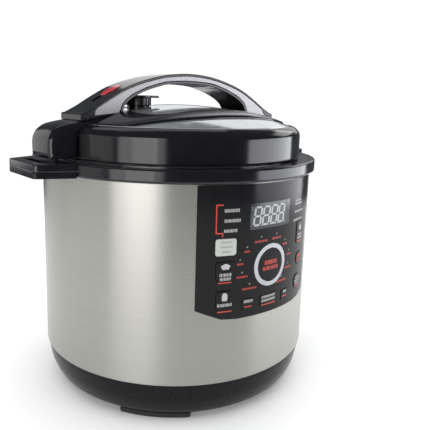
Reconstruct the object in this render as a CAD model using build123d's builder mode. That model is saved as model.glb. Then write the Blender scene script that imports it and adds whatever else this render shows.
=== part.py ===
"""Electric pressure cooker: steel body, plastic rim and base, bayonet lid with an arched handle.

Frame: +Z up, the control panel faces -Y and the handles lie along X.
The origin is on the body's axis, at the level the feet stand on. All sizes are in mm.
"""

import os
from math import cos, radians, sin, sqrt

from build123d import *

os.makedirs("parts", exist_ok=True)

# ---------------------------------------------------------------- overall sizes
shell_radius = 160.0        # outside of the steel body
shell_height = 207.0        # steel visible between base cover and rim
base_height = 47.0          # floor to the lower edge of the steel
rim_height = 13.5           # plastic rim above the steel
rim_overhang = 5.6          # rim beyond the steel
handle_reach = 31.4         # side handle beyond the rim
lid_wall_height = 24.0      # straight part of the lid's outer wall
dome_rise = 23.0            # crown of the steel lid above its edge
arch_rise = 35.5            # top of the lid's handle above the crown

# ---------------------------------------------------------------- sheet and wall sizes
shell_wall = 1.0
base_wall = 2.5
liner_wall = 1.0
pot_wall = 1.2
pot_floor = 3.0
lid_sheet = 1.5
cover_wall = 2.4
saddle_thickness = 2.6

# ---------------------------------------------------------------- fits and clearances
jacket_gap = 26.0           # insulation space between liner and shell
pot_clearance = 2.0         # radial, pot in liner
lug_clearance = 1.2         # radial, lid wall past the liner's lugs
turn_clearance = 1.0        # axial, lid lug under liner lug
seal_gap = 0.3              # sealing ring above the pot's rim
lid_skirt_gap = 1.5         # lid wall above the rim
key_clearance = 0.35        # around each key
key_proud = 0.7             # key face beyond the fascia
spigot_clearance = 0.2      # rim skirt inside the shell

# ---------------------------------------------------------------- heights that follow
foot_height = 6.0
shell_bottom = base_height
shell_top = shell_bottom + shell_height
rim_top = shell_top + rim_height
rim_radius = shell_radius + rim_overhang
shell_inner = shell_radius - shell_wall

# ---------------------------------------------------------------- liner, pot and bayonet
liner_outer = shell_inner - jacket_gap
liner_inner = liner_outer - liner_wall
liner_floor = base_height - 11.0
heater_top = liner_floor + 14.0
pot_outer = liner_inner - pot_clearance
ledge_width = 11.6
ledge_level = shell_top - 2.0
collar_inner = liner_inner + ledge_width
collar_outer = collar_inner + 1.4
collar_top = rim_top - 3.5
lug_depth = 5.0
lug_height = 3.0
lug_count = 6
lug_angle = 26.0
lug_pitch = 360.0 / lug_count
lug_inner = collar_inner - lug_depth
lug_gap_width = 2 * (lug_inner + lug_depth / 2) * sin(radians((lug_pitch - lug_angle) / 2))
lid_steel_radius = lug_inner - lug_clearance
lid_lug_radius = collar_inner - 0.8
lid_lug_top = collar_top - lug_height - turn_clearance - 0.5
lid_lug_bottom = lid_lug_top - lug_height
pot_rim_level = ledge_level + 0.5
pot_rim_radius = pot_outer + 6.5

# ---------------------------------------------------------------- lid
lid_wall_radius = collar_outer + 2.0
lid_bottom = rim_top + lid_skirt_gap
shoulder_level = lid_bottom + lid_wall_height
crown_radius = lid_wall_radius - 11.0
crown_level = shoulder_level + 10.0
dome_top = crown_level + dome_rise
dome_sphere = (crown_radius**2 + dome_rise**2) / (2 * dome_rise)
strap_half_width = 25.0
hump_reach = lid_wall_radius + 29.0
window_inner = 100.0 / 147.0 * lid_wall_radius
window_sweep = 225.0 / 147.0 * lid_wall_radius
opening_half_x = 0.58 * lid_wall_radius
opening_half_y = 0.48 * lid_wall_radius

# ---------------------------------------------------------------- valve positions
knob_x = -57.0 / 147.0 * lid_wall_radius
float_x = -108.0 / 147.0 * lid_wall_radius
pipe_radius = 5.0
float_bore = 3.6
knob_radius = 14.5
knob_base = dome_top - 1.8
knob_height = 9.0

# ---------------------------------------------------------------- control panel
panel_half_angle = 30.0
panel_bottom = shell_bottom + 69.0
panel_top = shell_top - 1.5
panel_height = panel_top - panel_bottom
key_unit = panel_height / 27.3
window_height = panel_height - 2.4 * key_unit
panel_thickness = 2.6
fascia_radius = shell_radius + panel_thickness
key_back = shell_radius - 4.0
key_face = fascia_radius + key_proud
carrier_outer = shell_inner
carrier_inner = shell_inner - 2.0
rim_skirt = 10.0
carrier_bottom = panel_bottom + 4.0
carrier_height = shell_top - rim_skirt - 1.0 - carrier_bottom
mat_outer = key_back - 1.4
mat_inner = mat_outer - 1.6
display_width = 11.6 * key_unit
display_height = 5.4 * key_unit
display_level = panel_bottom + 0.76 * panel_height

# name, angle from the front, height up the panel as a share, width, height (height 0 is round);
# the widths and heights count key units, so the keys keep their gaps when the panel changes
key_layout = [
    ("key_menu_select", 0.0, 0.375, 7.0, 0.0),
    ("key_keep_warm", -19.5, 0.555, 4.4, 3.4),
    ("key_meat", -19.5, 0.375, 4.0, 4.0),
    ("key_canning", -19.5, 0.155, 3.6, 4.0),
    ("key_time", -10.0, 0.100, 3.0, 2.4),
    ("key_delay", -0.5, 0.100, 4.8, 2.4),
    ("key_minus", 9.0, 0.095, 2.4, 2.4),
    ("key_heat", 19.0, 0.565, 3.2, 4.8),
    ("key_cancel", 19.5, 0.345, 3.0, 0.0),
    ("key_plus", 19.0, 0.150, 3.4, 0.0),
]
keys = [
    (name, angle, share, key_unit * width, key_unit * height)
    for name, angle, share, width, height in key_layout
]
menu_ring_width = 0.92 * key_unit

# ---------------------------------------------------------------- rear fittings
inlet_level = shell_bottom + 28.0
inlet_width = 28.0
inlet_height = 21.0
cup_half_width = 33.0
cup_bottom = shell_top - 46.0
cup_height = 38.0
cup_outer = shell_radius + 10.5
cup_wall = 1.4
cup_back = shell_radius + 1.3


def dome_z(radius, lift=0.0):
    """Height of the lid's spherical crown at a radius, raised by lift."""
    return dome_top - dome_sphere + sqrt(dome_sphere**2 - radius**2) + lift


def tangent_plane(angle, level, radius):
    """Plane touching a cylinder of the given radius, facing outwards, at an angle from the front."""
    a = radians(angle)
    return Plane(
        origin=(radius * sin(a), -radius * cos(a), level),
        x_dir=(cos(a), sin(a), 0),
        z_dir=(sin(a), -cos(a), 0),
    )


def key_level(share):
    """Height of a key whose place is given as a share of the panel's height."""
    return panel_bottom + share * panel_height


def save(builder, name):
    """Label a finished sub-part and write its STEP file."""
    builder.part.label = name
    export_step(builder.part, f"parts/{name}.step")


# ================================================================ body: shell, base and feet
with BuildPart() as steel_shell:
    with BuildSketch(Plane.XY.offset(shell_bottom)):
        Circle(shell_radius)
        Circle(shell_inner, mode=Mode.SUBTRACT)
    extrude(amount=shell_height)
    with BuildSketch(Plane.XY.offset(shell_bottom)):
        Circle(shell_inner)
        Circle(shell_inner - 8.0, mode=Mode.SUBTRACT)
    extrude(amount=shell_wall)
    with BuildSketch(Plane.XZ):
        with Locations((0, (panel_bottom + panel_top) / 2)):
            Rectangle(2 * shell_radius * sin(radians(panel_half_angle - 3)), window_height)
    extrude(amount=2 * shell_radius, mode=Mode.SUBTRACT)
    with BuildSketch(Plane.XZ):
        with Locations((0, inlet_level)):
            Rectangle(inlet_width, inlet_height)
    extrude(amount=-2 * shell_radius, mode=Mode.SUBTRACT)
save(steel_shell, "steel_shell")

base_flat = shell_radius - 18.0
base_profile = [
    (0, foot_height),
    (base_flat, foot_height),
    (shell_radius - 11.0, foot_height + 0.15 * (base_height - foot_height)),
    (shell_radius - 5.0, foot_height + 0.46 * (base_height - foot_height)),
    (shell_radius - 2.2, foot_height + 0.80 * (base_height - foot_height)),
    (shell_radius - 1.5, base_height),
]
base_inner = [(max(r - base_wall, 0), z + base_wall) for r, z in base_profile[1:-1]]
screw_circle = shell_radius - 60.0
boss_top = foot_height + 14.0

with BuildPart() as base_cover:
    with BuildSketch(Plane.XZ):
        with BuildLine():
            Line(base_profile[0], base_profile[1])
            Spline(*base_profile[1:])
            Polyline(
                base_profile[-1],
                (shell_inner - 8.5, base_height),
                (shell_inner - 8.5, base_height - base_wall),
                (base_profile[-1][0] - base_wall, base_height - base_wall),
            )
            Spline((base_profile[-1][0] - base_wall, base_height - base_wall), *base_inner[::-1])
            Polyline(base_inner[0], (0, foot_height + base_wall), base_profile[0])
        make_face()
    revolve(axis=Axis.Z)
    with BuildSketch(Plane.XY.offset(foot_height + base_wall)):
        with PolarLocations(screw_circle, 4, start_angle=45):
            Circle(6.5)
    extrude(amount=boss_top - foot_height - base_wall)
    with BuildSketch(Plane.XY.offset(foot_height)):
        with PolarLocations(screw_circle, 4, start_angle=45):
            Circle(2.3)
    extrude(amount=boss_top, mode=Mode.SUBTRACT)
    with BuildSketch(Plane.XY.offset(foot_height)):
        with PolarLocations(screw_circle, 4, start_angle=45):
            Circle(4.6)
    extrude(amount=1.8, mode=Mode.SUBTRACT)
    with BuildSketch(Plane.XY.offset(foot_height)):
        with PolarLocations(0.42 * shell_radius, 16):
            SlotOverall(22, 4)
        with PolarLocations(0.24 * shell_radius, 10):
            SlotOverall(16, 4)
    extrude(amount=base_wall, mode=Mode.SUBTRACT)
save(base_cover, "base_cover")

foot_width = 76.0
with BuildPart() as feet:
    with BuildSketch():
        with PolarLocations(base_flat - 10.0, 4, start_angle=45):
            Rectangle(30.0, foot_width)
        Circle(base_flat + 1.0, mode=Mode.INTERSECT)
        Circle(base_flat - 20.0, mode=Mode.SUBTRACT)
    extrude(amount=foot_height)
    chamfer(feet.faces().sort_by(Axis.Z)[:4].edges(), 1.2)
save(feet, "feet")

# ================================================================ rim with the two side handles
handle_tip = rim_radius + handle_reach
handle_root_half = 50.0
handle_tip_half = 33.0
handle_top = rim_top
grip_split = rim_top - 8.0
handle_bottom = rim_top - 14.0
slot_length = 42.0
slot_width = 8.0
slot_x = handle_tip - 15.5
handle_plan = [
    (0.85 * rim_radius, handle_root_half),
    (0.952 * rim_radius, handle_root_half),
    (handle_tip - 2.0, handle_tip_half + 1.5),
    (handle_tip, handle_tip_half - 2.0),
    (handle_tip, 2.0 - handle_tip_half),
    (handle_tip - 2.0, -handle_tip_half - 1.5),
    (0.952 * rim_radius, -handle_root_half),
    (0.85 * rim_radius, -handle_root_half),
]
skirt_outer = shell_inner - spigot_clearance

with BuildPart() as housing_rim:
    with BuildSketch(Plane.XZ):
        Polygon(
            (collar_outer + 0.6, rim_top),
            (rim_radius - 2.0, rim_top),
            (rim_radius, rim_top - 2.0),
            (rim_radius, shell_top + 2.5),
            (rim_radius - 2.5, shell_top),
            (skirt_outer, shell_top),
            (skirt_outer, shell_top - rim_skirt),
            (skirt_outer - 2.8, shell_top - rim_skirt),
            (skirt_outer - 2.8, shell_top + 2.0),
            (collar_outer + 5.2, shell_top + 2.0),
            (collar_outer + 5.2, collar_top),
            (collar_outer + 0.6, collar_top),
            align=None,
        )
    revolve(axis=Axis.Z)
    with BuildSketch(Plane.XY.offset(grip_split)):
        with Locations((0, 0), Location((0, 0, 0), (0, 0, 180))):
            Polygon(*handle_plan, align=None)
        Circle(shell_radius + 2.0, mode=Mode.SUBTRACT)
    extrude(amount=handle_top - grip_split)
    with BuildSketch(Plane.XY.offset(grip_split)):
        with Locations((slot_x, 0), (-slot_x, 0)):
            Rectangle(slot_width, slot_length)
    extrude(amount=handle_top - grip_split, mode=Mode.SUBTRACT)
save(housing_rim, "housing_rim")

with BuildPart() as side_grips:
    with BuildSketch(Plane.XY.offset(handle_bottom)):
        with Locations((0, 0), Location((0, 0, 0), (0, 0, 180))):
            Polygon(*handle_plan, align=None)
        Circle(rim_radius + 1.2, mode=Mode.SUBTRACT)
        with Locations((slot_x, 0), (-slot_x, 0)):
            Rectangle(slot_width, slot_length, mode=Mode.SUBTRACT)
    extrude(amount=grip_split - handle_bottom)
save(side_grips, "side_grips")

# ================================================================ liner, heater and sensors
with BuildPart() as liner:
    with BuildSketch(Plane.XZ):
        Polygon(
            (20.0, liner_floor),
            (liner_outer, liner_floor),
            (liner_outer, ledge_level - 1.2),
            (collar_outer, ledge_level - 1.2),
            (collar_outer, collar_top - 1.2),
            (collar_outer + 4.6, collar_top - 1.2),
            (collar_outer + 4.6, collar_top),
            (collar_inner, collar_top),
            (collar_inner, ledge_level),
            (liner_inner, ledge_level),
            (liner_inner, liner_floor + liner_wall),
            (20.0, liner_floor + liner_wall),
            align=None,
        )
    revolve(axis=Axis.Z)
    with BuildSketch(Plane.XY.offset(collar_top - lug_height)):
        Circle(collar_inner + 0.2)
        Circle(lug_inner, mode=Mode.SUBTRACT)
        with PolarLocations(lug_inner, lug_count):
            Rectangle(30.0, lug_gap_width, mode=Mode.SUBTRACT)
    extrude(amount=lug_height)
save(liner, "liner")

heater_radius = 0.76 * liner_inner
with BuildPart() as heating_plate:
    with BuildSketch(Plane.XZ):
        Polygon(
            (19.0, heater_top - 9.0),
            (0.68 * heater_radius, heater_top - 9.0),
            (0.70 * heater_radius, liner_floor + liner_wall),
            (0.84 * heater_radius, liner_floor + liner_wall),
            (0.86 * heater_radius, heater_top - 9.0),
            (heater_radius - 4.0, heater_top - 9.0),
            (heater_radius, heater_top - 5.0),
            (heater_radius - 2.0, heater_top),
            (19.0, heater_top),
            align=None,
        )
    revolve(axis=Axis.Z)
save(heating_plate, "heating_plate")

bracket_thickness = 1.5
with BuildPart() as sensor_bracket:
    with BuildSketch(Plane.XY.offset(liner_floor - bracket_thickness)):
        Rectangle(64.0, 18.0)
        Circle(6.4, mode=Mode.SUBTRACT)
    extrude(amount=bracket_thickness)
save(sensor_bracket, "sensor_bracket")

with BuildPart() as thermostat:
    with BuildSketch(Plane.XZ):
        Polygon(
            (0, liner_floor - 8.0),
            (6.0, liner_floor - 8.0),
            (6.0, liner_floor),
            (14.0, liner_floor),
            (14.0, heater_top - 5.0),
            (17.0, heater_top - 5.0),
            (17.0, heater_top - 0.3),
            (0, heater_top - 0.3),
            align=None,
        )
    revolve(axis=Axis.Z)
save(thermostat, "thermostat")

with BuildPart() as pressure_switch:
    with BuildSketch(Plane.XY.offset(liner_floor - 9.0)):
        with Locations((56.0, 0)):
            Circle(12.0)
    extrude(amount=9.0)
    with BuildSketch(Plane.XY.offset(liner_floor - 14.0)):
        with Locations((52.0, 0), (60.0, 0)):
            Rectangle(1.0, 6.0)
    extrude(amount=5.0)
save(pressure_switch, "pressure_switch")

with BuildPart() as standoffs:
    with BuildSketch(Plane.XY.offset(boss_top)):
        with PolarLocations(screw_circle, 4, start_angle=45):
            RegularPolygon(6.0, 6)
            Circle(2.1, mode=Mode.SUBTRACT)
    extrude(amount=liner_floor - boss_top)
save(standoffs, "standoffs")

screw_head_height = 1.6
with BuildPart() as base_screws:
    with BuildSketch(Plane.XY.offset(foot_height + 0.2)):
        with PolarLocations(screw_circle, 4, start_angle=45):
            Circle(4.2)
    extrude(amount=screw_head_height)
    with BuildSketch(Plane.XY.offset(foot_height + 0.2 + screw_head_height)):
        with PolarLocations(screw_circle, 4, start_angle=45):
            Circle(2.0)
    extrude(amount=liner_floor - 3.0 - foot_height)
    with BuildSketch(Plane.XY.offset(foot_height + 0.2)):
        with PolarLocations(screw_circle, 4, start_angle=45):
            Rectangle(4.6, 0.9)
            Rectangle(0.9, 4.6)
    extrude(amount=0.9, mode=Mode.SUBTRACT)
save(base_screws, "base_screws")

# ================================================================ inner pot
pot_corner = 12.0
with BuildPart() as inner_pot:
    with BuildSketch(Plane.XZ):
        with BuildLine():
            Line((0, heater_top), (pot_outer - pot_corner, heater_top))
            RadiusArc(
                (pot_outer - pot_corner, heater_top),
                (pot_outer, heater_top + pot_corner),
                -pot_corner,
            )
            Polyline(
                (pot_outer, heater_top + pot_corner),
                (pot_outer, pot_rim_level),
                (pot_rim_radius, pot_rim_level),
                (pot_rim_radius, pot_rim_level + pot_wall),
                (pot_outer - pot_wall, pot_rim_level + pot_wall),
                (pot_outer - pot_wall, heater_top + pot_corner + pot_floor - pot_wall),
            )
            RadiusArc(
                (pot_outer - pot_wall, heater_top + pot_corner + pot_floor - pot_wall),
                (pot_outer - pot_corner, heater_top + pot_floor),
                pot_corner - pot_wall,
            )
            Polyline(
                (pot_outer - pot_corner, heater_top + pot_floor),
                (0, heater_top + pot_floor),
                (0, heater_top),
            )
        make_face()
    revolve(axis=Axis.Z)
save(inner_pot, "inner_pot")

# ================================================================ circuit boards
post_reach = liner_outer + 7.0
board_thickness = 1.6
with BuildPart() as control_board:
    with BuildSketch(Plane.XZ.offset(post_reach)):
        with Locations((0, (panel_bottom + panel_top) / 2)):
            Rectangle(0.66 * liner_outer, panel_height - 24.0)
    extrude(amount=board_thickness)
    with BuildSketch(Plane.XZ.offset(post_reach)):
        with Locations((0, (panel_bottom + panel_top) / 2)):
            with GridLocations(0.58 * liner_outer, panel_height - 34.0, 2, 2):
                Circle(3.0)
    extrude(amount=-0.4 * liner_outer)
    with BuildSketch(Plane.XY.offset(panel_bottom)):
        Circle(liner_outer)
    extrude(amount=panel_height, mode=Mode.SUBTRACT)
save(control_board, "control_board")

with BuildPart() as power_board:
    with BuildSketch(Plane.XZ.offset(-post_reach)):
        with Locations((0, inlet_level + 74.0)):
            Rectangle(0.66 * liner_outer, 84.0)
    extrude(amount=-board_thickness)
    with BuildSketch(Plane.XZ.offset(-post_reach)):
        with Locations((0, inlet_level + 74.0)):
            with GridLocations(0.58 * liner_outer, 74.0, 2, 2):
                Circle(3.0)
    extrude(amount=0.4 * liner_outer)
    with BuildSketch(Plane.XZ.offset(-post_reach - board_thickness)):
        with Locations((-16.0, inlet_level + 92.0)):
            Rectangle(22.0, 18.0)
        with Locations((16.0, inlet_level + 92.0)):
            Rectangle(18.0, 18.0)
        with Locations((-14.0, inlet_level + 60.0)):
            Rectangle(26.0, 22.0)
        with Locations((16.0, inlet_level + 60.0)):
            Circle(8.0)
    extrude(amount=-7.0)
    with BuildSketch(Plane.XY.offset(inlet_level)):
        Circle(liner_outer)
    extrude(amount=150.0, mode=Mode.SUBTRACT)
save(power_board, "power_board")

# ================================================================ control panel
with BuildPart() as panel_fascia:
    with BuildSketch(Plane.XY.offset(panel_bottom)):
        Circle(fascia_radius)
        Circle(shell_radius, mode=Mode.SUBTRACT)
    extrude(amount=panel_height)
    half_width = fascia_radius * sin(radians(panel_half_angle))
    with BuildSketch(Plane.XZ):
        Polygon(
            (-half_width, panel_top),
            (-half_width, panel_bottom + 12.0),
            (-half_width + 24.0, panel_bottom + 1.5),
            (-half_width + 40.0, panel_bottom),
            (half_width - 40.0, panel_bottom),
            (half_width - 24.0, panel_bottom + 1.5),
            (half_width, panel_bottom + 12.0),
            (half_width, panel_top),
            align=None,
        )
    extrude(amount=2 * shell_radius, mode=Mode.INTERSECT)
    with BuildSketch(Plane.XZ):
        with Locations((0, display_level)):
            Rectangle(display_width, display_height)
    extrude(amount=2 * shell_radius, mode=Mode.SUBTRACT)
    for _, angle, share, width, height in keys:
        with BuildSketch(tangent_plane(angle, key_level(share), liner_outer)):
            if height:
                RectangleRounded(width + 2 * key_clearance, height + 2 * key_clearance, 3.0)
            else:
                Circle(width / 2 + key_clearance)
        extrude(amount=2 * jacket_gap, mode=Mode.SUBTRACT)
save(panel_fascia, "panel_fascia")

with BuildPart() as key_carrier:
    with BuildSketch(Plane.XY.offset(carrier_bottom)):
        Circle(carrier_outer)
        Circle(carrier_inner, mode=Mode.SUBTRACT)
    extrude(amount=carrier_height)
    with BuildSketch(Plane.XZ):
        with Locations((0, (panel_bottom + panel_top) / 2)):
            Rectangle(2 * shell_radius * sin(radians(panel_half_angle - 1)), panel_height)
    extrude(amount=2 * shell_radius, mode=Mode.INTERSECT)
    with BuildSketch(Plane.XZ):
        with Locations((0, display_level)):
            Rectangle(display_width + 2.0, display_height + 2.0)
    extrude(amount=2 * shell_radius, mode=Mode.SUBTRACT)
    for _, angle, share, width, height in keys:
        with BuildSketch(tangent_plane(angle, key_level(share), liner_outer)):
            if height:
                RectangleRounded(width + 2 * key_clearance, height + 2 * key_clearance, 3.0)
            else:
                Circle(width / 2 + key_clearance)
        extrude(amount=2 * jacket_gap, mode=Mode.SUBTRACT)
save(key_carrier, "key_carrier")

with BuildPart() as key_mat:
    with BuildSketch(Plane.XY.offset(carrier_bottom)):
        Circle(mat_outer)
        Circle(mat_inner, mode=Mode.SUBTRACT)
    extrude(amount=carrier_height)
    with BuildSketch(Plane.XZ):
        with Locations((0, (panel_bottom + panel_top) / 2)):
            Rectangle(2 * shell_radius * sin(radians(panel_half_angle - 3)), panel_height)
    extrude(amount=2 * shell_radius, mode=Mode.INTERSECT)
    with BuildSketch(Plane.XZ):
        with Locations((0, display_level)):
            Rectangle(display_width + 4.0, display_height + 4.0)
    extrude(amount=2 * shell_radius, mode=Mode.SUBTRACT)
save(key_mat, "key_mat")

with BuildPart() as display_module:
    with BuildSketch(Plane.XZ.offset(post_reach + board_thickness)):
        with Locations((0, display_level)):
            Rectangle(display_width - 4.0, display_height - 3.0)
    extrude(amount=shell_radius - 6.0 - post_reach - board_thickness)
save(display_module, "display_module")

with BuildPart() as display_lens:
    with BuildSketch(Plane.XY.offset(display_level - display_height / 2 + 0.1)):
        Circle(fascia_radius - 0.2)
        Circle(shell_radius + 0.4, mode=Mode.SUBTRACT)
    extrude(amount=display_height - 0.2)
    with BuildSketch(Plane.XZ):
        with Locations((0, display_level)):
            Rectangle(display_width - 0.2, display_height - 0.2)
    extrude(amount=2 * shell_radius, mode=Mode.INTERSECT)
save(display_lens, "display_lens")

menu_angle, menu_share, menu_width = keys[0][1:4]
with BuildPart() as menu_ring:
    with BuildSketch(tangent_plane(menu_angle, key_level(menu_share), liner_outer)):
        Circle(menu_width / 2 + key_clearance + menu_ring_width)
        Circle(menu_width / 2 + key_clearance, mode=Mode.SUBTRACT)
    extrude(amount=2 * jacket_gap)
    with BuildSketch(Plane.XY.offset(panel_bottom)):
        Circle(fascia_radius + 0.5)
        Circle(fascia_radius, mode=Mode.SUBTRACT)
    extrude(amount=panel_height, mode=Mode.INTERSECT)
save(menu_ring, "menu_ring")

for name, angle, share, width, height in keys:
    with BuildPart() as key:
        with BuildSketch(tangent_plane(angle, key_level(share), liner_outer)):
            if height:
                RectangleRounded(width, height, 3.0 - key_clearance)
            else:
                Circle(width / 2)
        extrude(amount=2 * jacket_gap)
        with BuildSketch(Plane.XY.offset(panel_bottom)):
            Circle(key_face)
            Circle(key_back, mode=Mode.SUBTRACT)
        extrude(amount=panel_height, mode=Mode.INTERSECT)
    save(key, name)

# ================================================================ power inlet at the rear
flange_margin = 5.0
inlet_depth = 20.0
inlet_flange = shell_radius + 2.4
with BuildPart() as power_inlet:
    with BuildSketch(Plane.XZ.offset(-inlet_flange)):
        with Locations((0, inlet_level)):
            Rectangle(inlet_width + 2 * flange_margin, inlet_height + 2 * flange_margin)
    extrude(amount=12.0)
    with BuildSketch(Plane.XY.offset(inlet_level - inlet_height)):
        Circle(shell_radius)
    extrude(amount=2 * inlet_height, mode=Mode.SUBTRACT)
    with BuildSketch(Plane.XZ.offset(-inlet_flange)):
        with Locations((0, inlet_level)):
            Rectangle(inlet_width - 0.4, inlet_height - 0.4)
    extrude(amount=inlet_depth)
    with BuildSketch(Plane.XZ.offset(-inlet_flange)):
        with Locations((0, inlet_level)):
            RectangleRounded(inlet_width - 4.0, inlet_height - 4.0, 2.5)
    extrude(amount=inlet_depth - 2.0, mode=Mode.SUBTRACT)
save(power_inlet, "power_inlet")

pin_root = inlet_flange - inlet_depth + 2.0
with BuildPart() as inlet_pins:
    with BuildSketch(Plane.XZ.offset(-pin_root)):
        with Locations((-7.0, inlet_level - 2.0), (7.0, inlet_level - 2.0), (0, inlet_level + 2.5)):
            Rectangle(2.0, 4.5)
    extrude(amount=-9.0)
save(inlet_pins, "inlet_pins")

# ================================================================ condensation cup at the rear
with BuildPart() as cup_bracket:
    with BuildSketch(Plane.XY.offset(cup_bottom - 3.0)):
        Circle(shell_radius + 1.0)
        Circle(shell_radius, mode=Mode.SUBTRACT)
    extrude(amount=cup_height + 3.0)
    with BuildSketch(Plane.XY.offset(cup_bottom - 3.0)):
        Circle(shell_radius + 6.0)
        Circle(shell_radius, mode=Mode.SUBTRACT)
        Rectangle(2 * cup_half_width + 0.8, 4 * shell_radius, mode=Mode.SUBTRACT)
    extrude(amount=cup_height + 3.0)
    with BuildSketch(Plane.XY.offset(cup_bottom - 3.0)):
        Circle(shell_radius + 6.0)
        Circle(shell_radius, mode=Mode.SUBTRACT)
    extrude(amount=2.6)
    with BuildSketch(Plane.XY.offset(cup_bottom - 3.0)):
        with Locations((0, shell_radius)):
            Rectangle(2 * cup_half_width + 5.8, shell_radius)
    extrude(amount=cup_height + 3.0, mode=Mode.INTERSECT)
save(cup_bracket, "cup_bracket")

with BuildPart() as condensation_cup:
    with BuildSketch(Plane.XY.offset(cup_bottom)):
        with Locations((0, cup_outer - 20.0)):
            RectangleRounded(2 * cup_half_width, 40.0, 5.0)
        Circle(cup_back, mode=Mode.SUBTRACT)
        with Locations((0, -shell_radius)):
            Rectangle(4 * shell_radius, 3.9 * shell_radius - 2 * jacket_gap, mode=Mode.SUBTRACT)
    extrude(amount=cup_height)
    with BuildSketch(Plane.XY.offset(cup_bottom + cup_wall)):
        with Locations((0, cup_outer - 20.0)):
            RectangleRounded(2 * (cup_half_width - cup_wall), 40.0 - 2 * cup_wall, 5.0 - cup_wall)
        Circle(cup_back + cup_wall, mode=Mode.SUBTRACT)
    extrude(amount=cup_height, mode=Mode.SUBTRACT)
save(condensation_cup, "condensation_cup")

# ================================================================ lid: steel, seal and covers
dome_mid = 0.5 * crown_radius
steel_edge = crown_radius - 1.6
wall_end = dome_z(steel_edge) - 4.3
with BuildPart() as lid_envelope:
    with BuildSketch(Plane.XZ):
        with BuildLine():
            Polyline(
                (0, dome_top),
                (0, lid_lug_bottom),
                (lid_steel_radius, lid_lug_bottom),
                (lid_steel_radius, wall_end),
                (steel_edge, dome_z(steel_edge)),
            )
            ThreePointArc(
                (steel_edge, dome_z(steel_edge)),
                (dome_mid, dome_z(dome_mid)),
                (0, dome_top),
            )
        make_face()
    revolve(axis=Axis.Z)

valve_places = [(knob_x, 0), (float_x, 0)]
screw_x = 118.0 / 147.0 * lid_wall_radius
screw_y = 13.0
screw_places = [(x, y) for x in (-screw_x, screw_x) for y in (-screw_y, screw_y)]

with BuildPart() as lid_steel:
    add(lid_envelope.part)
    with BuildSketch(Plane.XZ):
        with BuildLine():
            Polyline(
                (0, dome_top - lid_sheet),
                (0, lid_lug_bottom),
                (lid_steel_radius - lid_sheet, lid_lug_bottom),
                (lid_steel_radius - lid_sheet, wall_end - 0.8),
                (steel_edge - 0.8, dome_z(steel_edge - 0.8, -lid_sheet)),
            )
            ThreePointArc(
                (steel_edge - 0.8, dome_z(steel_edge - 0.8, -lid_sheet)),
                (dome_mid, dome_z(dome_mid, -lid_sheet)),
                (0, dome_top - lid_sheet),
            )
        make_face()
    revolve(axis=Axis.Z, mode=Mode.SUBTRACT)
    with BuildSketch(Plane.XY.offset(lid_lug_bottom)):
        Circle(lid_lug_radius)
        Circle(lid_steel_radius - 0.2, mode=Mode.SUBTRACT)
        with PolarLocations(lug_inner, lug_count, start_angle=lug_pitch / 2):
            Rectangle(30.0, lug_gap_width, mode=Mode.SUBTRACT)
    extrude(amount=lug_height)
    with BuildSketch(Plane.XY.offset(lid_lug_bottom)):
        with Locations(valve_places[0]):
            Circle(pipe_radius)
        with Locations(valve_places[1]):
            Circle(float_bore)
        with Locations(*screw_places):
            Circle(2.2)
    extrude(amount=2 * dome_top, mode=Mode.SUBTRACT)
save(lid_steel, "lid_steel")

with BuildPart() as lid_cover:
    with BuildSketch(Plane.XZ):
        with BuildLine():
            Polyline(
                (lid_steel_radius + 1.0, lid_bottom),
                (lid_wall_radius, lid_bottom),
                (lid_wall_radius, shoulder_level),
            )
            ThreePointArc(
                (lid_wall_radius, shoulder_level),
                (lid_wall_radius - 2.3, shoulder_level + 6.0),
                (crown_radius + 2.0, crown_level + 0.6),
            )
            Polyline(
                (crown_radius + 2.0, crown_level + 0.6),
                (crown_radius - 0.4, crown_level + 1.2),
                (crown_radius - 0.4, crown_level + 0.2),
                (lid_steel_radius + 1.0, wall_end + 2.4),
                (lid_steel_radius + 1.0, wall_end - 2.0),
                (lid_wall_radius - cover_wall, shoulder_level - 4.0),
                (lid_wall_radius - cover_wall, lid_bottom + cover_wall),
                (lid_steel_radius + 1.0, lid_bottom + cover_wall),
                (lid_steel_radius + 1.0, lid_bottom),
            )
        make_face()
    revolve(axis=Axis.Z)
save(lid_cover, "lid_cover")

with BuildPart() as covered_lid:
    add(lid_envelope.part)
    with BuildSketch(Plane.XZ):
        with BuildLine():
            Polyline(
                (0, shoulder_level),
                (0, lid_lug_bottom),
                (lid_wall_radius, lid_lug_bottom),
                (lid_wall_radius, shoulder_level),
            )
            ThreePointArc(
                (lid_wall_radius, shoulder_level),
                (lid_wall_radius - 2.3, shoulder_level + 6.0),
                (crown_radius + 2.0, crown_level + 0.6),
            )
            Polyline(
                (crown_radius + 2.0, crown_level + 0.6),
                (crown_radius - 0.4, crown_level + 1.2),
                (0, crown_level + 1.2),
                (0, shoulder_level),
            )
        make_face()
    revolve(axis=Axis.Z)

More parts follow.
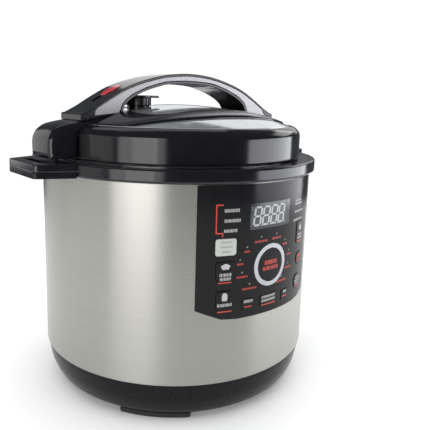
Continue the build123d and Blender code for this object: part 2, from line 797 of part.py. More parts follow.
strap_start = 0.80 * lid_wall_radius
saddle_edge = crown_radius - 2.0
with BuildPart() as lid_saddle:
    with BuildSketch(Plane.XZ):
        with BuildLine():
            Polyline((0, dome_top + saddle_thickness), (0, crown_level), (saddle_edge, crown_level))
            Line((saddle_edge, crown_level), (saddle_edge, dome_z(saddle_edge, saddle_thickness)))
            ThreePointArc(
                (saddle_edge, dome_z(saddle_edge, saddle_thickness)),
                (dome_mid, dome_z(dome_mid, saddle_thickness)),
                (0, dome_top + saddle_thickness),
            )
        make_face()
    revolve(axis=Axis.Z)
    with BuildSketch(Plane.XY.offset(crown_level - 10.0)):
        with Locations((0, window_sweep - window_inner)):
            Circle(window_sweep)
        with Locations((0, window_inner - window_sweep)):
            Circle(window_sweep, mode=Mode.INTERSECT)
    extrude(amount=2 * dome_rise + 20.0, mode=Mode.INTERSECT)
    with BuildSketch(Plane.XZ.offset(-strap_half_width)):
        for side in (-1, 1):
            with BuildLine():
                Polyline(
                    (side * strap_start, dome_z(strap_start, saddle_thickness)),
                    (side * strap_start, crown_level - 8.0),
                    (side * (lid_wall_radius - 6.0), lid_bottom + 1.5),
                    (side * (hump_reach - 1.0), lid_bottom + 1.5),
                    (side * hump_reach, lid_bottom + 3.0),
                    (side * hump_reach, shoulder_level - 6.0),
                )
                Spline(
                    (side * hump_reach, shoulder_level - 6.0),
                    (side * (hump_reach - 5.0), crown_level - 5.5),
                    (side * (hump_reach - 16.0), crown_level + 1.8),
                    (side * (hump_reach - 34.0), crown_level + 5.6),
                    (side * strap_start, dome_z(strap_start, saddle_thickness)),
                    tangents=[(0, 1), (-side * 1.0, 0.28)],
                )
            make_face()
    extrude(amount=2 * strap_half_width)
    add(covered_lid.part, mode=Mode.SUBTRACT)
    with BuildSketch(Plane.XY.offset(crown_level - 10.0)):
        RectangleRounded(2 * opening_half_x, 2 * opening_half_y, 30.0)
    extrude(amount=2 * dome_rise + 20.0, mode=Mode.SUBTRACT)
    with BuildSketch(Plane.XY.offset(lid_lug_bottom)):
        with Locations(valve_places[1]):
            Circle(float_bore)
        with Locations(*screw_places):
            Circle(2.2)
    extrude(amount=2 * dome_top, mode=Mode.SUBTRACT)
save(lid_saddle, "lid_saddle")

# ================================================================ lid: seal, valves and shield
seal_outer = lid_steel_radius - lid_sheet - 0.3
seal_bottom = pot_rim_level + pot_wall + seal_gap
with BuildPart() as sealing_ring:
    with BuildSketch(Plane.XZ):
        Polygon(
            (seal_outer - 8.5, seal_bottom),
            (seal_outer, seal_bottom),
            (seal_outer, seal_bottom + 10.0),
            (seal_outer - 3.5, seal_bottom + 10.0),
            (seal_outer - 3.5, seal_bottom + 4.0),
            (seal_outer - 8.5, seal_bottom + 2.6),
            align=None,
        )
    revolve(axis=Axis.Z)
save(sealing_ring, "sealing_ring")

wire_radius = 1.5
with BuildPart() as seal_rack:
    with BuildSketch(Plane.XZ):
        with Locations((seal_outer - 3.5 - wire_radius, seal_bottom + 4.0 + wire_radius)):
            Circle(wire_radius)
    revolve(axis=Axis.Z)
save(seal_rack, "seal_rack")

pipe_bottom = dome_z(abs(knob_x)) - 19.0
with BuildPart() as steam_pipe:
    with BuildSketch(Plane.XY.offset(pipe_bottom)):
        with Locations((knob_x, 0)):
            Circle(pipe_radius)
            Circle(2.0, mode=Mode.SUBTRACT)
    extrude(amount=knob_base + 5.0 - pipe_bottom)
    with BuildSketch(Plane.XY.offset(dome_z(abs(knob_x)) - lid_sheet - 6.5)):
        with Locations((knob_x, 0)):
            RegularPolygon(9.0, 6)
            Circle(pipe_radius - 0.5, mode=Mode.SUBTRACT)
    extrude(amount=4.0)
save(steam_pipe, "steam_pipe")

shield_radius = 16.0
shield_height = 11.0
with BuildPart() as anti_block_shield:
    with BuildSketch(Plane.XY.offset(pipe_bottom - 1.2)):
        with Locations((knob_x, 0)):
            Circle(shield_radius)
    extrude(amount=shield_height)
    with BuildSketch(Plane.XY.offset(pipe_bottom)):
        with Locations((knob_x, 0)):
            Circle(shield_radius - 1.2)
    extrude(amount=shield_height, mode=Mode.SUBTRACT)
    with BuildSketch(Plane.XY.offset(pipe_bottom + 2.0)):
        with Locations((knob_x, 0)):
            with PolarLocations(shield_radius, 12):
                Rectangle(6.0, 2.4)
    extrude(amount=shield_height - 5.0, mode=Mode.SUBTRACT)
save(anti_block_shield, "anti_block_shield")

with BuildPart() as pressure_knob:
    with BuildSketch(Plane.XY.offset(knob_base)):
        with Locations((knob_x, 0)):
            Circle(knob_radius)
            with PolarLocations(knob_radius + 0.6, 14):
                Circle(1.9, mode=Mode.SUBTRACT)
    extrude(amount=knob_height)
    with BuildSketch(Plane.XY.offset(knob_base + knob_height)):
        with Locations((knob_x, 0)):
            Circle(knob_radius + 1.0)
        with Locations((knob_x + knob_radius, 0)):
            SlotOverall(2 * knob_radius - 4.0, 9.0)
    extrude(amount=2.6)
    with BuildSketch(Plane.XY.offset(knob_base)):
        with Locations((knob_x, 0)):
            Circle(pipe_radius + 0.05)
    extrude(amount=6.0, mode=Mode.SUBTRACT)
save(pressure_knob, "pressure_knob")

float_radius = float_bore - 0.4
float_low = dome_z(abs(float_x)) - lid_sheet - 9.0
float_travel = 5.0
float_length = 21.0
with BuildPart() as float_valve:
    with BuildSketch(Plane.XY.offset(float_low)):
        with Locations((float_x, 0)):
            Circle(float_radius)
    extrude(amount=float_length)
    with BuildSketch(Plane.XY.offset(float_low - 1.5)):
        with Locations((float_x, 0)):
            Circle(5.6)
    extrude(amount=1.5)
save(float_valve, "float_valve")

with BuildPart() as float_seal:
    with BuildSketch(Plane.XY.offset(float_low)):
        with Locations((float_x, 0)):
            Circle(5.2)
            Circle(float_radius, mode=Mode.SUBTRACT)
    extrude(amount=1.4)
save(float_seal, "float_seal")

# ================================================================ lid: arched handle
handle_scale = lid_wall_radius / 147.0
handle_half_width = 23.0
side_thickness = 1.5
arch_top = dome_top + arch_rise
arch_outer = [(0, 0), (32, -2.4), (60, -8.5), (84, -16.6), (105, -27.4), (124, -38.6), (137, -45.2)]
arch_inner = [(0, -9.0), (30, -11.0), (50, -16.0), (70, -24.0), (83, -32.0), (91, -41.0), (94.5, -52.0)]


def arch_points(outline, lift=0.0):
    """An arch outline mirrored to both sides, in the XZ plane."""
    right = [(x * handle_scale, arch_top + z + lift) for x, z in outline]
    left = [(-x, z) for x, z in right[:0:-1]]
    return left + right


outer_line = arch_points(arch_outer)
inner_line = arch_points(arch_inner)
skin_line = arch_points(arch_outer, -2.6)
leg_foot = crown_level - 4.0
lip_x = 141.5 * handle_scale
lip_z = arch_top - 46.5
arch_span = 200.0 * handle_scale
skin_softness = 2.0

with BuildPart() as handle_body:
    with BuildSketch(Plane.XZ.offset(-handle_half_width + side_thickness)):
        with BuildLine():
            Spline(*outer_line)
            Polyline(
                outer_line[-1],
                (lip_x, lip_z),
                (lip_x, leg_foot),
                (inner_line[-1][0], leg_foot),
                inner_line[-1],
            )
            Spline(*inner_line[::-1])
            Polyline(
                inner_line[0],
                (-inner_line[-1][0], leg_foot),
                (-lip_x, leg_foot),
                (-lip_x, lip_z),
                outer_line[0],
            )
        make_face()
    extrude(amount=2 * (handle_half_width - side_thickness))
    with BuildSketch(Plane.XZ.offset(-handle_half_width - 0.6)):
        with BuildLine():
            Spline(*outer_line)
            Polyline(outer_line[-1], (lip_x, lip_z), (lip_x, lip_z - 4.0), skin_line[-1])
            Spline(*skin_line[::-1])
            Polyline(skin_line[0], (-lip_x, lip_z - 4.0), (-lip_x, lip_z), outer_line[0])
        make_face()
    extrude(amount=2 * (handle_half_width + 0.6))
    add(lid_saddle.part, mode=Mode.SUBTRACT)
    add(covered_lid.part, mode=Mode.SUBTRACT)
    with BuildSketch(Plane.XY.offset(crown_level - 10.0)):
        with Locations(valve_places[1]):
            SlotOverall(16.0, 2 * float_bore + 0.8)
    extrude(amount=2 * arch_rise + 20.0, mode=Mode.SUBTRACT)
    with BuildSketch(Plane.XY.offset(crown_level - 10.0)):
        with Locations(*screw_places):
            Circle(2.2)
    extrude(amount=24.0, mode=Mode.SUBTRACT)
    long_edges = handle_body.edges().filter_by(lambda e: e.length > arch_span)
    skin_edges = long_edges.filter_by(lambda e: abs(e.center().Y) > handle_half_width)
    fillet(skin_edges.sort_by(Axis.Z)[-2:], skin_softness)
save(handle_body, "handle_body")

for side, name in ((-1, "handle_side_rear"), (1, "handle_side_front")):
    panel_start = side * (handle_half_width - side_thickness / 2) - side_thickness / 2
    with BuildPart() as handle_side:
        with BuildSketch(Plane.XZ.offset(panel_start)):
            with BuildLine():
                Spline(*skin_line)
                Polyline(
                    skin_line[-1],
                    (skin_line[-1][0] - 3.0, leg_foot),
                    (inner_line[-1][0], leg_foot),
                    inner_line[-1],
                )
                Spline(*inner_line[::-1])
                Polyline(
                    inner_line[0],
                    (-inner_line[-1][0], leg_foot),
                    (3.0 - skin_line[-1][0], leg_foot),
                    skin_line[0],
                )
            make_face()
        extrude(amount=side_thickness)
        add(handle_body.part, mode=Mode.SUBTRACT)
        add(lid_saddle.part, mode=Mode.SUBTRACT)
        add(covered_lid.part, mode=Mode.SUBTRACT)
    save(handle_side, name)

badge_x = -93.0 * handle_scale
badge_skin = arch_points(arch_outer, 0.8)
with BuildPart() as handle_badge:
    with BuildSketch(Plane.XZ.offset(-handle_half_width)):
        with BuildLine():
            Spline(*badge_skin)
            Line(badge_skin[-1], outer_line[-1])
            Spline(*outer_line[::-1])
            Line(outer_line[0], badge_skin[0])
        make_face()
    extrude(amount=2 * handle_half_width)
    with BuildSketch(Plane.XY.offset(crown_level)):
        with Locations((badge_x, 0)):
            Ellipse(11.5, 8.5)
    extrude(amount=2 * arch_rise + 20.0, mode=Mode.INTERSECT)
save(handle_badge, "handle_badge")

with BuildPart() as handle_screws:
    head_top = dome_z(sqrt(screw_x**2 + screw_y**2) + 4.0) - lid_sheet - 0.4
    with BuildSketch(Plane.XY.offset(head_top - 2.2)):
        with Locations(*screw_places):
            Circle(4.0)
    extrude(amount=2.2)
    with BuildSketch(Plane.XY.offset(head_top)):
        with Locations(*screw_places):
            Circle(1.9)
    extrude(amount=crown_level + 13.5 - head_top)
    with BuildSketch(Plane.XY.offset(head_top - 2.2)):
        with Locations(*screw_places):
            Rectangle(4.6, 0.9)
            Rectangle(0.9, 4.6)
    extrude(amount=1.0, mode=Mode.SUBTRACT)
save(handle_screws, "handle_screws")
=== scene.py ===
# %% [markdown]
# # An electric pressure cooker, built in Blender over its CAD frame
# The CAD frame gives every sub-part's place, size and joint. This lesson dresses it: each visible
# piece gets a mesh with softened edges and a procedural finish, and rides on the body it moves with.
# All lengths are written in millimetres and turned into metres once, when a mesh is made.

from math import cos, degrees, hypot, pi, radians, sin, sqrt

import bmesh
import bpy
from mathutils import Matrix, Vector


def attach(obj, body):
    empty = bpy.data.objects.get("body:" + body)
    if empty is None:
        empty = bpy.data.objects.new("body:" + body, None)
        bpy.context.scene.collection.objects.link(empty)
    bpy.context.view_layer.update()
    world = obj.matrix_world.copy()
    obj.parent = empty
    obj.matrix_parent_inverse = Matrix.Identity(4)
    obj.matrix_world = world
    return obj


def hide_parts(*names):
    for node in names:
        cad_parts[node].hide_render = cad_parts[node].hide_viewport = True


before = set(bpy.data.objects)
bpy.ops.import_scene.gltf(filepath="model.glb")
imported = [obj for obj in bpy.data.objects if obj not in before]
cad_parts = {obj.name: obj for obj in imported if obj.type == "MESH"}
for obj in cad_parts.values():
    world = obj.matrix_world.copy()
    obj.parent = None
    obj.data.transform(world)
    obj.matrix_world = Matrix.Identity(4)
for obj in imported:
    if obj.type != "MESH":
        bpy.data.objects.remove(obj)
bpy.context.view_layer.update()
MM = 0.001

# %% [markdown]
# ## Two ways to make a mesh
# Most of a cooker is turned or bent from sheet, so a closed outline spun about the upright axis
# makes the shell, lid and pots. The arched handle and the side handles are flat outlines pushed
# through a thickness. Both helpers close the mesh and point its faces outwards.

# %% Turned pieces
def mesh_object(name, bm, smooth_angle=32.0):
    """A bmesh becomes an object at the origin, smooth except across edges sharper than the angle."""
    bmesh.ops.remove_doubles(bm, verts=bm.verts, dist=1e-6)
    bmesh.ops.recalc_face_normals(bm, faces=bm.faces)
    mesh = bpy.data.meshes.new(name)
    bm.to_mesh(mesh)
    bm.free()
    mesh.shade_smooth()
    mesh.set_sharp_from_angle(angle=radians(smooth_angle))
    obj = bpy.data.objects.new(name, mesh)
    bpy.context.scene.collection.objects.link(obj)
    return obj


def rounded(outline, steps=4):
    """Corners given as (a, b, radius) become arcs; corners given as (a, b) stay sharp."""
    out = []
    count = len(outline)
    for i, corner in enumerate(outline):
        here = Vector(corner[:2])
        if len(corner) < 3:
            out.append(tuple(here))
            continue
        back = (Vector(outline[i - 1][:2]) - here).normalized()
        ahead = (Vector(outline[(i + 1) % count][:2]) - here).normalized()
        start = here + back * corner[2]
        end = here + ahead * corner[2]
        for k in range(steps + 1):
            t = k / steps
            out.append(tuple(start * (1 - t) ** 2 + here * 2 * t * (1 - t) + end * t**2))
    return out


def supported(outline, near=0.35):
    """Adds a point close to both ends of each long run, so that smooth shading stays at the corners."""
    out = []
    for i, here in enumerate(outline):
        there = outline[(i + 1) % len(outline)]
        out.append(here)
        run = hypot(there[0] - here[0], there[1] - here[1])
        if run > 3.0:
            for t in (near / run, 1 - near / run):
                out.append((here[0] + (there[0] - here[0]) * t, here[1] + (there[1] - here[1]) * t))
    return out


def add_turned(bm, outline, steps=224):
    """Spins a closed (radius, height) outline about the Z axis."""
    outline = supported(outline)
    rings = []
    for r, z in outline:
        if r < 1e-4:
            rings.append([bm.verts.new((0, 0, z * MM))])
            continue
        turn = [2 * pi * k / steps for k in range(steps)]
        rings.append([bm.verts.new((r * MM * cos(a), r * MM * sin(a), z * MM)) for a in turn])
    for i, ring in enumerate(rings):
        after = rings[(i + 1) % len(rings)]
        if len(ring) == 1 and len(after) == 1:
            continue
        for k in range(steps):
            n = (k + 1) % steps
            if len(ring) == 1:
                bm.faces.new((ring[0], after[k], after[n]))
            elif len(after) == 1:
                bm.faces.new((ring[k], after[0], ring[n]))
            else:
                bm.faces.new((ring[k], after[k], after[n], ring[n]))


def turned(name, outline, smooth_angle=32.0):
    """A turned piece as an object."""
    bm = bmesh.new()
    add_turned(bm, outline)
    return mesh_object(name, bm, smooth_angle)


# %% [markdown]
# ## Pushing an outline
# Handles, lugs, keys and caps are flat outlines with a thickness. One function stacks the outline at
# a few heights, drawn in slightly at both rims to round the edges, so no Bevel modifier is needed.

# %% Pushed outlines
def add_slab(bm, outline, low, high, place, bevel=0.0, steps=3):
    """A closed outline given thickness from low to high, with bevelled rims.

    The place function maps (a, b, depth) to a point.
    """
    rims = [(low + bevel * (1 - cos(t)), bevel * (1 - sin(t))) for t in arc_steps(steps, bevel)]
    if bevel:
        rims = [(low, bevel + 0.3), *rims, (low + bevel + 0.3, 0.0)]
    rims += [(high - (d - low), inset) for d, inset in reversed(rims)]
    flat = [Vector(p) for p in outline]
    count = len(flat)
    area = sum(flat[i - 1].x * flat[i].y - flat[i].x * flat[i - 1].y for i in range(count))
    side = 1.0 if area > 0 else -1.0
    inward = []
    for i in range(count):
        tangent = (flat[(i + 1) % count] - flat[i - 1]).normalized()
        inward.append(Vector((-tangent.y, tangent.x)) * side)
    rings = []
    for depth, inset in rims:
        ring = [bm.verts.new(Vector(place(*(p + n * inset), depth)) * MM) for p, n in zip(flat, inward)]
        rings.append(ring)
    for one, two in zip(rings, rings[1:]):
        for k in range(count):
            n = (k + 1) % count
            bm.faces.new((one[k], one[n], two[n], two[k]))
    bm.faces.new(rings[0])
    bm.faces.new(rings[-1])


def arc_steps(steps, bevel):
    """Angles from 0 to 90 degrees for a rounded rim, or one level where there is no bevel."""
    if bevel == 0.0:
        return [pi / 2]
    return [pi / 2 * k / steps for k in range(steps + 1)]


def across(a, b, depth):
    """Outline in X and Z, thickness along Y."""
    return (a, depth, b)


def upright(a, b, depth):
    """Outline in X and Y, thickness along Z."""
    return (a, b, depth)


def fine_line(points, per_span=8):
    """A smooth line through the given points."""
    pts = [Vector(p) for p in points]
    out = []
    for i in range(len(pts) - 1):
        p0 = pts[i - 1] if i else pts[0] * 2 - pts[1]
        p3 = pts[i + 2] if i + 2 < len(pts) else pts[-1] * 2 - pts[-2]
        p1, p2 = pts[i], pts[i + 1]
        for k in range(per_span):
            t = k / per_span
            a = p1 * 2 + (p2 - p0) * t
            b = (p0 * 2 - p1 * 5 + p2 * 4 - p3) * t**2
            c = (p1 * 3 - p0 - p2 * 3 + p3) * t**3
            out.append(tuple((a + b + c) / 2))
    out.append(tuple(pts[-1]))
    return out


# %% [markdown]
# ## Cutting holes and copying CAD nodes
# Slots and vents are cut with a Boolean, applied at once so that the finished piece is a plain mesh.
# Small fittings whose CAD shape is already right are copied, welded and given a fine edge radius,
# because a moulded edge is never razor sharp and its small highlight is what makes it look real.

# %% Cut and copy
def baked(obj):
    """Applies an object's modifiers and returns it with a plain mesh."""
    graph = bpy.context.evaluated_depsgraph_get()
    mesh = bpy.data.meshes.new_from_object(obj.evaluated_get(graph))
    obj.modifiers.clear()
    obj.data = mesh
    return obj


def cut(obj, cutter, smooth_angle=32.0, overlapping=False):
    """Subtracts the cutter from the object and removes the cutter.

    Overlapping is set for a piece made of several solids.
    """
    boolean = obj.modifiers.new("cut", "BOOLEAN")
    boolean.object = cutter
    boolean.solver = "EXACT"
    boolean.use_self = overlapping
    baked(obj)
    bpy.data.objects.remove(cutter)
    obj.data.shade_smooth()
    obj.data.set_sharp_from_angle(angle=radians(smooth_angle))
    return obj


def softened(node, radius=0.4, smooth_angle=28.0, segments=2):
    """A welded copy of a CAD node with its sharp edges rounded."""
    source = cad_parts[node]
    bm = bmesh.new()
    bm.from_mesh(source.data)
    bmesh.ops.transform(bm, matrix=source.matrix_world, verts=bm.verts)
    bmesh.ops.remove_doubles(bm, verts=bm.verts, dist=2e-6)
    bmesh.ops.dissolve_limit(bm, angle_limit=radians(0.4), verts=bm.verts, edges=bm.edges)
    mesh = bpy.data.meshes.new(node + "_detail")
    bm.to_mesh(mesh)
    bm.free()
    mesh.shade_smooth()
    mesh.set_sharp_from_angle(angle=radians(smooth_angle))
    obj = bpy.data.objects.new(node + "_detail", mesh)
    bpy.context.scene.collection.objects.link(obj)
    if radius:
        bevel = obj.modifiers.new("edge", "BEVEL")
        bevel.width = radius * MM
        bevel.segments = segments
        bevel.limit_method = "ANGLE"
        bevel.angle_limit = radians(smooth_angle)
        bevel.harden_normals = True
        baked(obj)
    return obj


def finish(obj, body, material, slot, *nodes):
    """Gives a piece its material and its body, and hides the CAD nodes it stands for."""
    obj.data.materials.clear()
    obj.data.materials.append(material)
    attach(obj, body)
    if nodes:
        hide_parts(*nodes)
    return obj


# %% [markdown]
# ## Finishes
# One recipe makes most finishes: a noise in the piece's own coordinates varies the colour a little,
# another varies the roughness, and a third gives a faint bump. Stretching the noise turns grain into
# brush marks. What differs from one material to the next is the numbers.

# %% The recipe
def surface(name, low, high, rough, grain=400.0, stretch=(1, 1, 1), bump=0.02, bump_grain=None, **sockets):
    """A procedural material; low and high are the two ends of its colour, rough those of its roughness."""
    material = bpy.data.materials.new(name)
    material.use_nodes = True
    tree = material.node_tree
    shader = tree.nodes["Principled BSDF"]
    place = tree.nodes.new("ShaderNodeTexCoord")
    scale = tree.nodes.new("ShaderNodeMapping")
    scale.inputs["Scale"].default_value = stretch
    tree.links.new(place.outputs["Object"], scale.inputs["Vector"])
    noise = tree.nodes.new("ShaderNodeTexNoise")
    noise.inputs["Scale"].default_value = grain
    noise.inputs["Detail"].default_value = 5.0
    tree.links.new(scale.outputs["Vector"], noise.inputs["Vector"])
    tint = tree.nodes.new("ShaderNodeValToRGB")
    tint.color_ramp.elements[0].position = 0.3
    tint.color_ramp.elements[1].position = 0.7
    tint.color_ramp.elements[0].color = (*low, 1)
    tint.color_ramp.elements[1].color = (*high, 1)
    tree.links.new(noise.outputs["Fac"], tint.inputs["Fac"])
    tree.links.new(tint.outputs["Color"], shader.inputs["Base Color"])
    wear = tree.nodes.new("ShaderNodeMapRange")
    wear.inputs["From Min"].default_value = 0.3
    wear.inputs["From Max"].default_value = 0.7
    wear.inputs["To Min"].default_value = rough[0]
    wear.inputs["To Max"].default_value = rough[1]
    tree.links.new(noise.outputs["Fac"], wear.inputs["Value"])
    tree.links.new(wear.outputs["Result"], shader.inputs["Roughness"])
    relief = tree.nodes.new("ShaderNodeTexNoise")
    relief.inputs["Scale"].default_value = bump_grain or grain * 2
    relief.inputs["Detail"].default_value = 3.0
    tree.links.new(scale.outputs["Vector"], relief.inputs["Vector"])
    lift = tree.nodes.new("ShaderNodeBump")
    lift.inputs["Strength"].default_value = bump
    lift.inputs["Distance"].default_value = 0.0004
    tree.links.new(relief.outputs["Fac"], lift.inputs["Height"])
    tree.links.new(lift.outputs["Normal"], shader.inputs["Normal"])
    for socket, value in sockets.items():
        shader.inputs[socket.replace("_", " ")].default_value = value
    return material


# %% [markdown]
# ## The finishes of this cooker
# Steel, gloss and satin black mouldings, printed film, silver trim, rubber and silicone each get
# their own colours, roughness and grain size from the recipe. Brushed steel also gets anisotropy,
# which stretches its highlights up and down the body.

# %% All the finishes
def brushed(name, low, high, rough, spread):
    """Steel brushed round the body: fine level lines, and highlights stretched up and down."""
    material = surface(
        name, low, high, rough, 4.0, (1.0, 1.0, 420.0), 0.012, 9.0, Metallic=1.0, Anisotropic=spread,
    )
    shader = material.node_tree.nodes["Principled BSDF"]
    shader.inputs["Anisotropic Rotation"].default_value = 0.25
    round_axis = material.node_tree.nodes.new("ShaderNodeTangent")
    round_axis.direction_type = "RADIAL"
    round_axis.axis = "Z"
    material.node_tree.links.new(round_axis.outputs["Tangent"], shader.inputs["Tangent"])
    return material


shell_finish = brushed(
    "brushed_shell_steel", (0.345, 0.343, 0.316), (0.375, 0.372, 0.345), (0.32, 0.36), 0.8,
)
gloss = surface(
    "gloss_black_moulding", (0.005, 0.005, 0.006), (0.007, 0.007, 0.009), (0.11, 0.15), 120.0, bump=0.004,
    bump_grain=60.0, Specular_IOR_Level=0.42,
)
panel_finish = surface(
    "panel_black_film", (0.007, 0.007, 0.008), (0.009, 0.009, 0.010), (0.14, 0.17), 120.0, bump=0.002,
    Specular_IOR_Level=0.17,
)
matte = surface(
    "matte_black_moulding", (0.012, 0.012, 0.013), (0.022, 0.022, 0.024), (0.42, 0.58), 900.0, bump=0.12,
)
key_finish = surface(
    "key_black_film", (0.007, 0.007, 0.008), (0.009, 0.009, 0.010), (0.15, 0.19), 120.0, bump=0.002,
    Specular_IOR_Level=0.17,
)
pale_key = surface("key_pale_grey", (0.44, 0.46, 0.43), (0.50, 0.52, 0.49), (0.30, 0.40), 500.0, bump=0.03)
trim = surface(
    "satin_silver_trim", (0.46, 0.455, 0.475), (0.50, 0.495, 0.515), (0.40, 0.46), 60.0, (1, 1, 1), 0.015,
    500.0, Metallic=0.35,
)
ring_trim = surface(
    "menu_ring_silver", (0.40, 0.41, 0.43), (0.47, 0.48, 0.50), (0.30, 0.38), 300.0, bump=0.02,
    Metallic=0.35,
)
red = surface(
    "red_gloss_trim", (0.42, 0.012, 0.018), (0.55, 0.022, 0.03), (0.14, 0.22), 260.0, bump=0.01,
    Coat_Weight=0.6,
)
print_red = surface("red_ink", (0.50, 0.040, 0.025), (0.60, 0.055, 0.035), (0.4, 0.5), 900.0, bump=0.04)
print_white = surface("white_ink", (0.40, 0.40, 0.40), (0.50, 0.50, 0.49), (0.4, 0.5), 900.0, bump=0.04)
print_grey = surface("grey_ink", (0.20, 0.21, 0.20), (0.27, 0.28, 0.27), (0.45, 0.55), 900.0, bump=0.04)
digit_finish = surface(
    "display_segments", (0.40, 0.42, 0.42), (0.48, 0.50, 0.50), (0.3, 0.4), 500.0, bump=0.02,
)
lens = surface("smoked_lens", (0.03, 0.032, 0.036), (0.045, 0.047, 0.052), (0.08, 0.12), 200.0, bump=0.004)
lid_finish = surface(
    "polished_lid_steel", (0.60, 0.61, 0.63), (0.72, 0.73, 0.75), (0.05, 0.16), 60.0, (1, 1, 1), 0.22, 55.0,
    Metallic=0.84,
)
pot_finish = brushed("pot_steel", (0.58, 0.57, 0.56), (0.68, 0.67, 0.66), (0.20, 0.28), 0.5)
aluminium = surface(
    "spun_aluminium", (0.62, 0.62, 0.63), (0.72, 0.72, 0.73), (0.30, 0.40), 5.0, (1, 1, 60), 0.04, 12.0,
    Metallic=1.0,
)
cast = surface(
    "cast_aluminium", (0.45, 0.45, 0.46), (0.58, 0.58, 0.59), (0.45, 0.6), 700.0, bump=0.25, Metallic=1.0,
)
zinc = surface(
    "zinc_plated_steel", (0.50, 0.51, 0.50), (0.62, 0.62, 0.58), (0.28, 0.4), 350.0, bump=0.06,
    Metallic=1.0,
)
rubber = surface("foot_rubber", (0.010, 0.010, 0.010), (0.020, 0.020, 0.020), (0.6, 0.75), 1100.0, bump=0.2)
silicone = surface(
    "clear_silicone", (0.60, 0.60, 0.57), (0.70, 0.70, 0.67), (0.32, 0.42), 300.0, bump=0.04,
    Subsurface_Weight=0.25, Transmission_Weight=0.25,
)
grey_silicone = surface(
    "grey_silicone", (0.16, 0.17, 0.18), (0.22, 0.23, 0.24), (0.45, 0.55), 500.0, bump=0.06,
)
board = surface(
    "green_circuit_board", (0.008, 0.10, 0.03), (0.015, 0.16, 0.05), (0.28, 0.4), 260.0, bump=0.06,
    Coat_Weight=0.4,
)
white_moulding = surface(
    "white_moulding", (0.62, 0.62, 0.60), (0.70, 0.70, 0.68), (0.4, 0.5), 500.0, bump=0.05,
)
brass = surface(
    "nickel_pins", (0.66, 0.60, 0.46), (0.76, 0.70, 0.54), (0.2, 0.3), 500.0, bump=0.04, Metallic=1.0,
)
clear = surface(
    "clear_cup", (0.80, 0.84, 0.86), (0.88, 0.91, 0.92), (0.04, 0.08), 60.0, bump=0.02,
    Transmission_Weight=0.92, IOR=1.49,
)
float_finish = surface(
    "polished_float", (0.62, 0.62, 0.63), (0.74, 0.74, 0.75), (0.12, 0.2), 400.0, bump=0.03, Metallic=1.0,
)
print("finishes", len(bpy.data.materials))

# %% [markdown]
# ## Things that repeat in a ring
# Vents, lugs and the knob's ribs repeat round an axis. A Geometry Nodes tree places copies of one
# piece on a circle of points, and its count, radius, first angle and centre are named inputs.

# %% A ring of copies, made by Geometry Nodes
def ring_tree():
    """A node tree that sets copies of a piece round the Z axis, each turned to face outwards."""
    tree = bpy.data.node_groups.new("ring_of_pieces", "GeometryNodeTree")
    inputs = {}
    for label, kind in (
        ("Piece", "NodeSocketObject"),
        ("Count", "NodeSocketInt"),
        ("Radius", "NodeSocketFloat"),
        ("First angle", "NodeSocketFloat"),
        ("Centre", "NodeSocketVector"),
        ("Material", "NodeSocketMaterial"),
    ):
        inputs[label] = tree.interface.new_socket(label, in_out="INPUT", socket_type=kind).identifier
    tree.interface.new_socket("Geometry", in_out="OUTPUT", socket_type="NodeSocketGeometry")
    add = tree.nodes.new
    given = add("NodeGroupInput")
    circle = add("GeometryNodeMeshCircle")
    piece = add("GeometryNodeObjectInfo")
    place = add("GeometryNodeInputPosition")
    facing = add("FunctionNodeAlignRotationToVector")
    facing.axis = "X"
    facing.pivot_axis = "Z"
    copies = add("GeometryNodeInstanceOnPoints")
    turn = add("ShaderNodeCombineXYZ")
    shift = add("GeometryNodeTransform")
    solid = add("GeometryNodeRealizeInstances")
    paint = add("GeometryNodeSetMaterial")
    result = add("NodeGroupOutput")
    link = tree.links.new
    link(given.outputs["Count"], circle.inputs["Vertices"])
    link(given.outputs["Radius"], circle.inputs["Radius"])
    link(given.outputs["Piece"], piece.inputs["Object"])
    link(place.outputs["Position"], facing.inputs["Vector"])
    link(circle.outputs["Mesh"], copies.inputs["Points"])
    link(piece.outputs["Geometry"], copies.inputs["Instance"])
    link(facing.outputs["Rotation"], copies.inputs["Rotation"])
    link(given.outputs["First angle"], turn.inputs["Z"])
    link(copies.outputs["Instances"], shift.inputs["Geometry"])
    link(turn.outputs["Vector"], shift.inputs["Rotation"])
    link(given.outputs["Centre"], shift.inputs["Translation"])
    link(shift.outputs["Geometry"], solid.inputs["Geometry"])
    link(solid.outputs["Geometry"], paint.inputs["Geometry"])
    link(given.outputs["Material"], paint.inputs["Material"])
    link(paint.outputs["Geometry"], result.inputs["Geometry"])
    return tree, inputs


ring_nodes, ring_inputs = ring_tree()


def ring_of(name, piece, count, radius, material, first_angle=0.0, centre=(0, 0, 0)):
    """A plain mesh of count copies of the piece set round a centre; the piece is used up."""
    obj = bpy.data.objects.new(name, bpy.data.meshes.new(name))
    bpy.context.scene.collection.objects.link(obj)
    modifier = obj.modifiers.new("ring", "NODES")
    modifier.node_group = ring_nodes
    values = {
        "Piece": piece,
        "Count": count,
        "Radius": radius * MM,
        "First angle": radians(first_angle),
        "Centre": tuple(v * MM for v in centre),
        "Material": material,
    }
    for label, value in values.items():
        modifier[ring_inputs[label]] = value
    baked(obj)
    bpy.data.objects.remove(piece)
    return obj


# %% [markdown]
# ## Steel body and base
# The body is a drawn sleeve of brushed steel with a small hem at each end. The base under it is a
# deep moulded bowl, standing on four rubber feet and pierced underneath so that air can reach the
# boards. Both are turned; the vents are cut with a ring of slot-shaped cutters.

# %% Shell
shell_outline = rounded([
    (160.0, 47.0, 0.8), (160.0, 254.0, 0.8), (159.0, 254.0), (159.0, 48.0), (151.0, 48.0), (151.0, 47.0),
])
shell = turned("brushed_shell", shell_outline)
finish(shell, "housing", shell_finish, "shell_steel", "steel_shell")

# %% [markdown]
# ## Base bowl
# The bowl's side is a smooth curve through five points. Its vents are two rings of
# round-ended slots, cut through the floor.

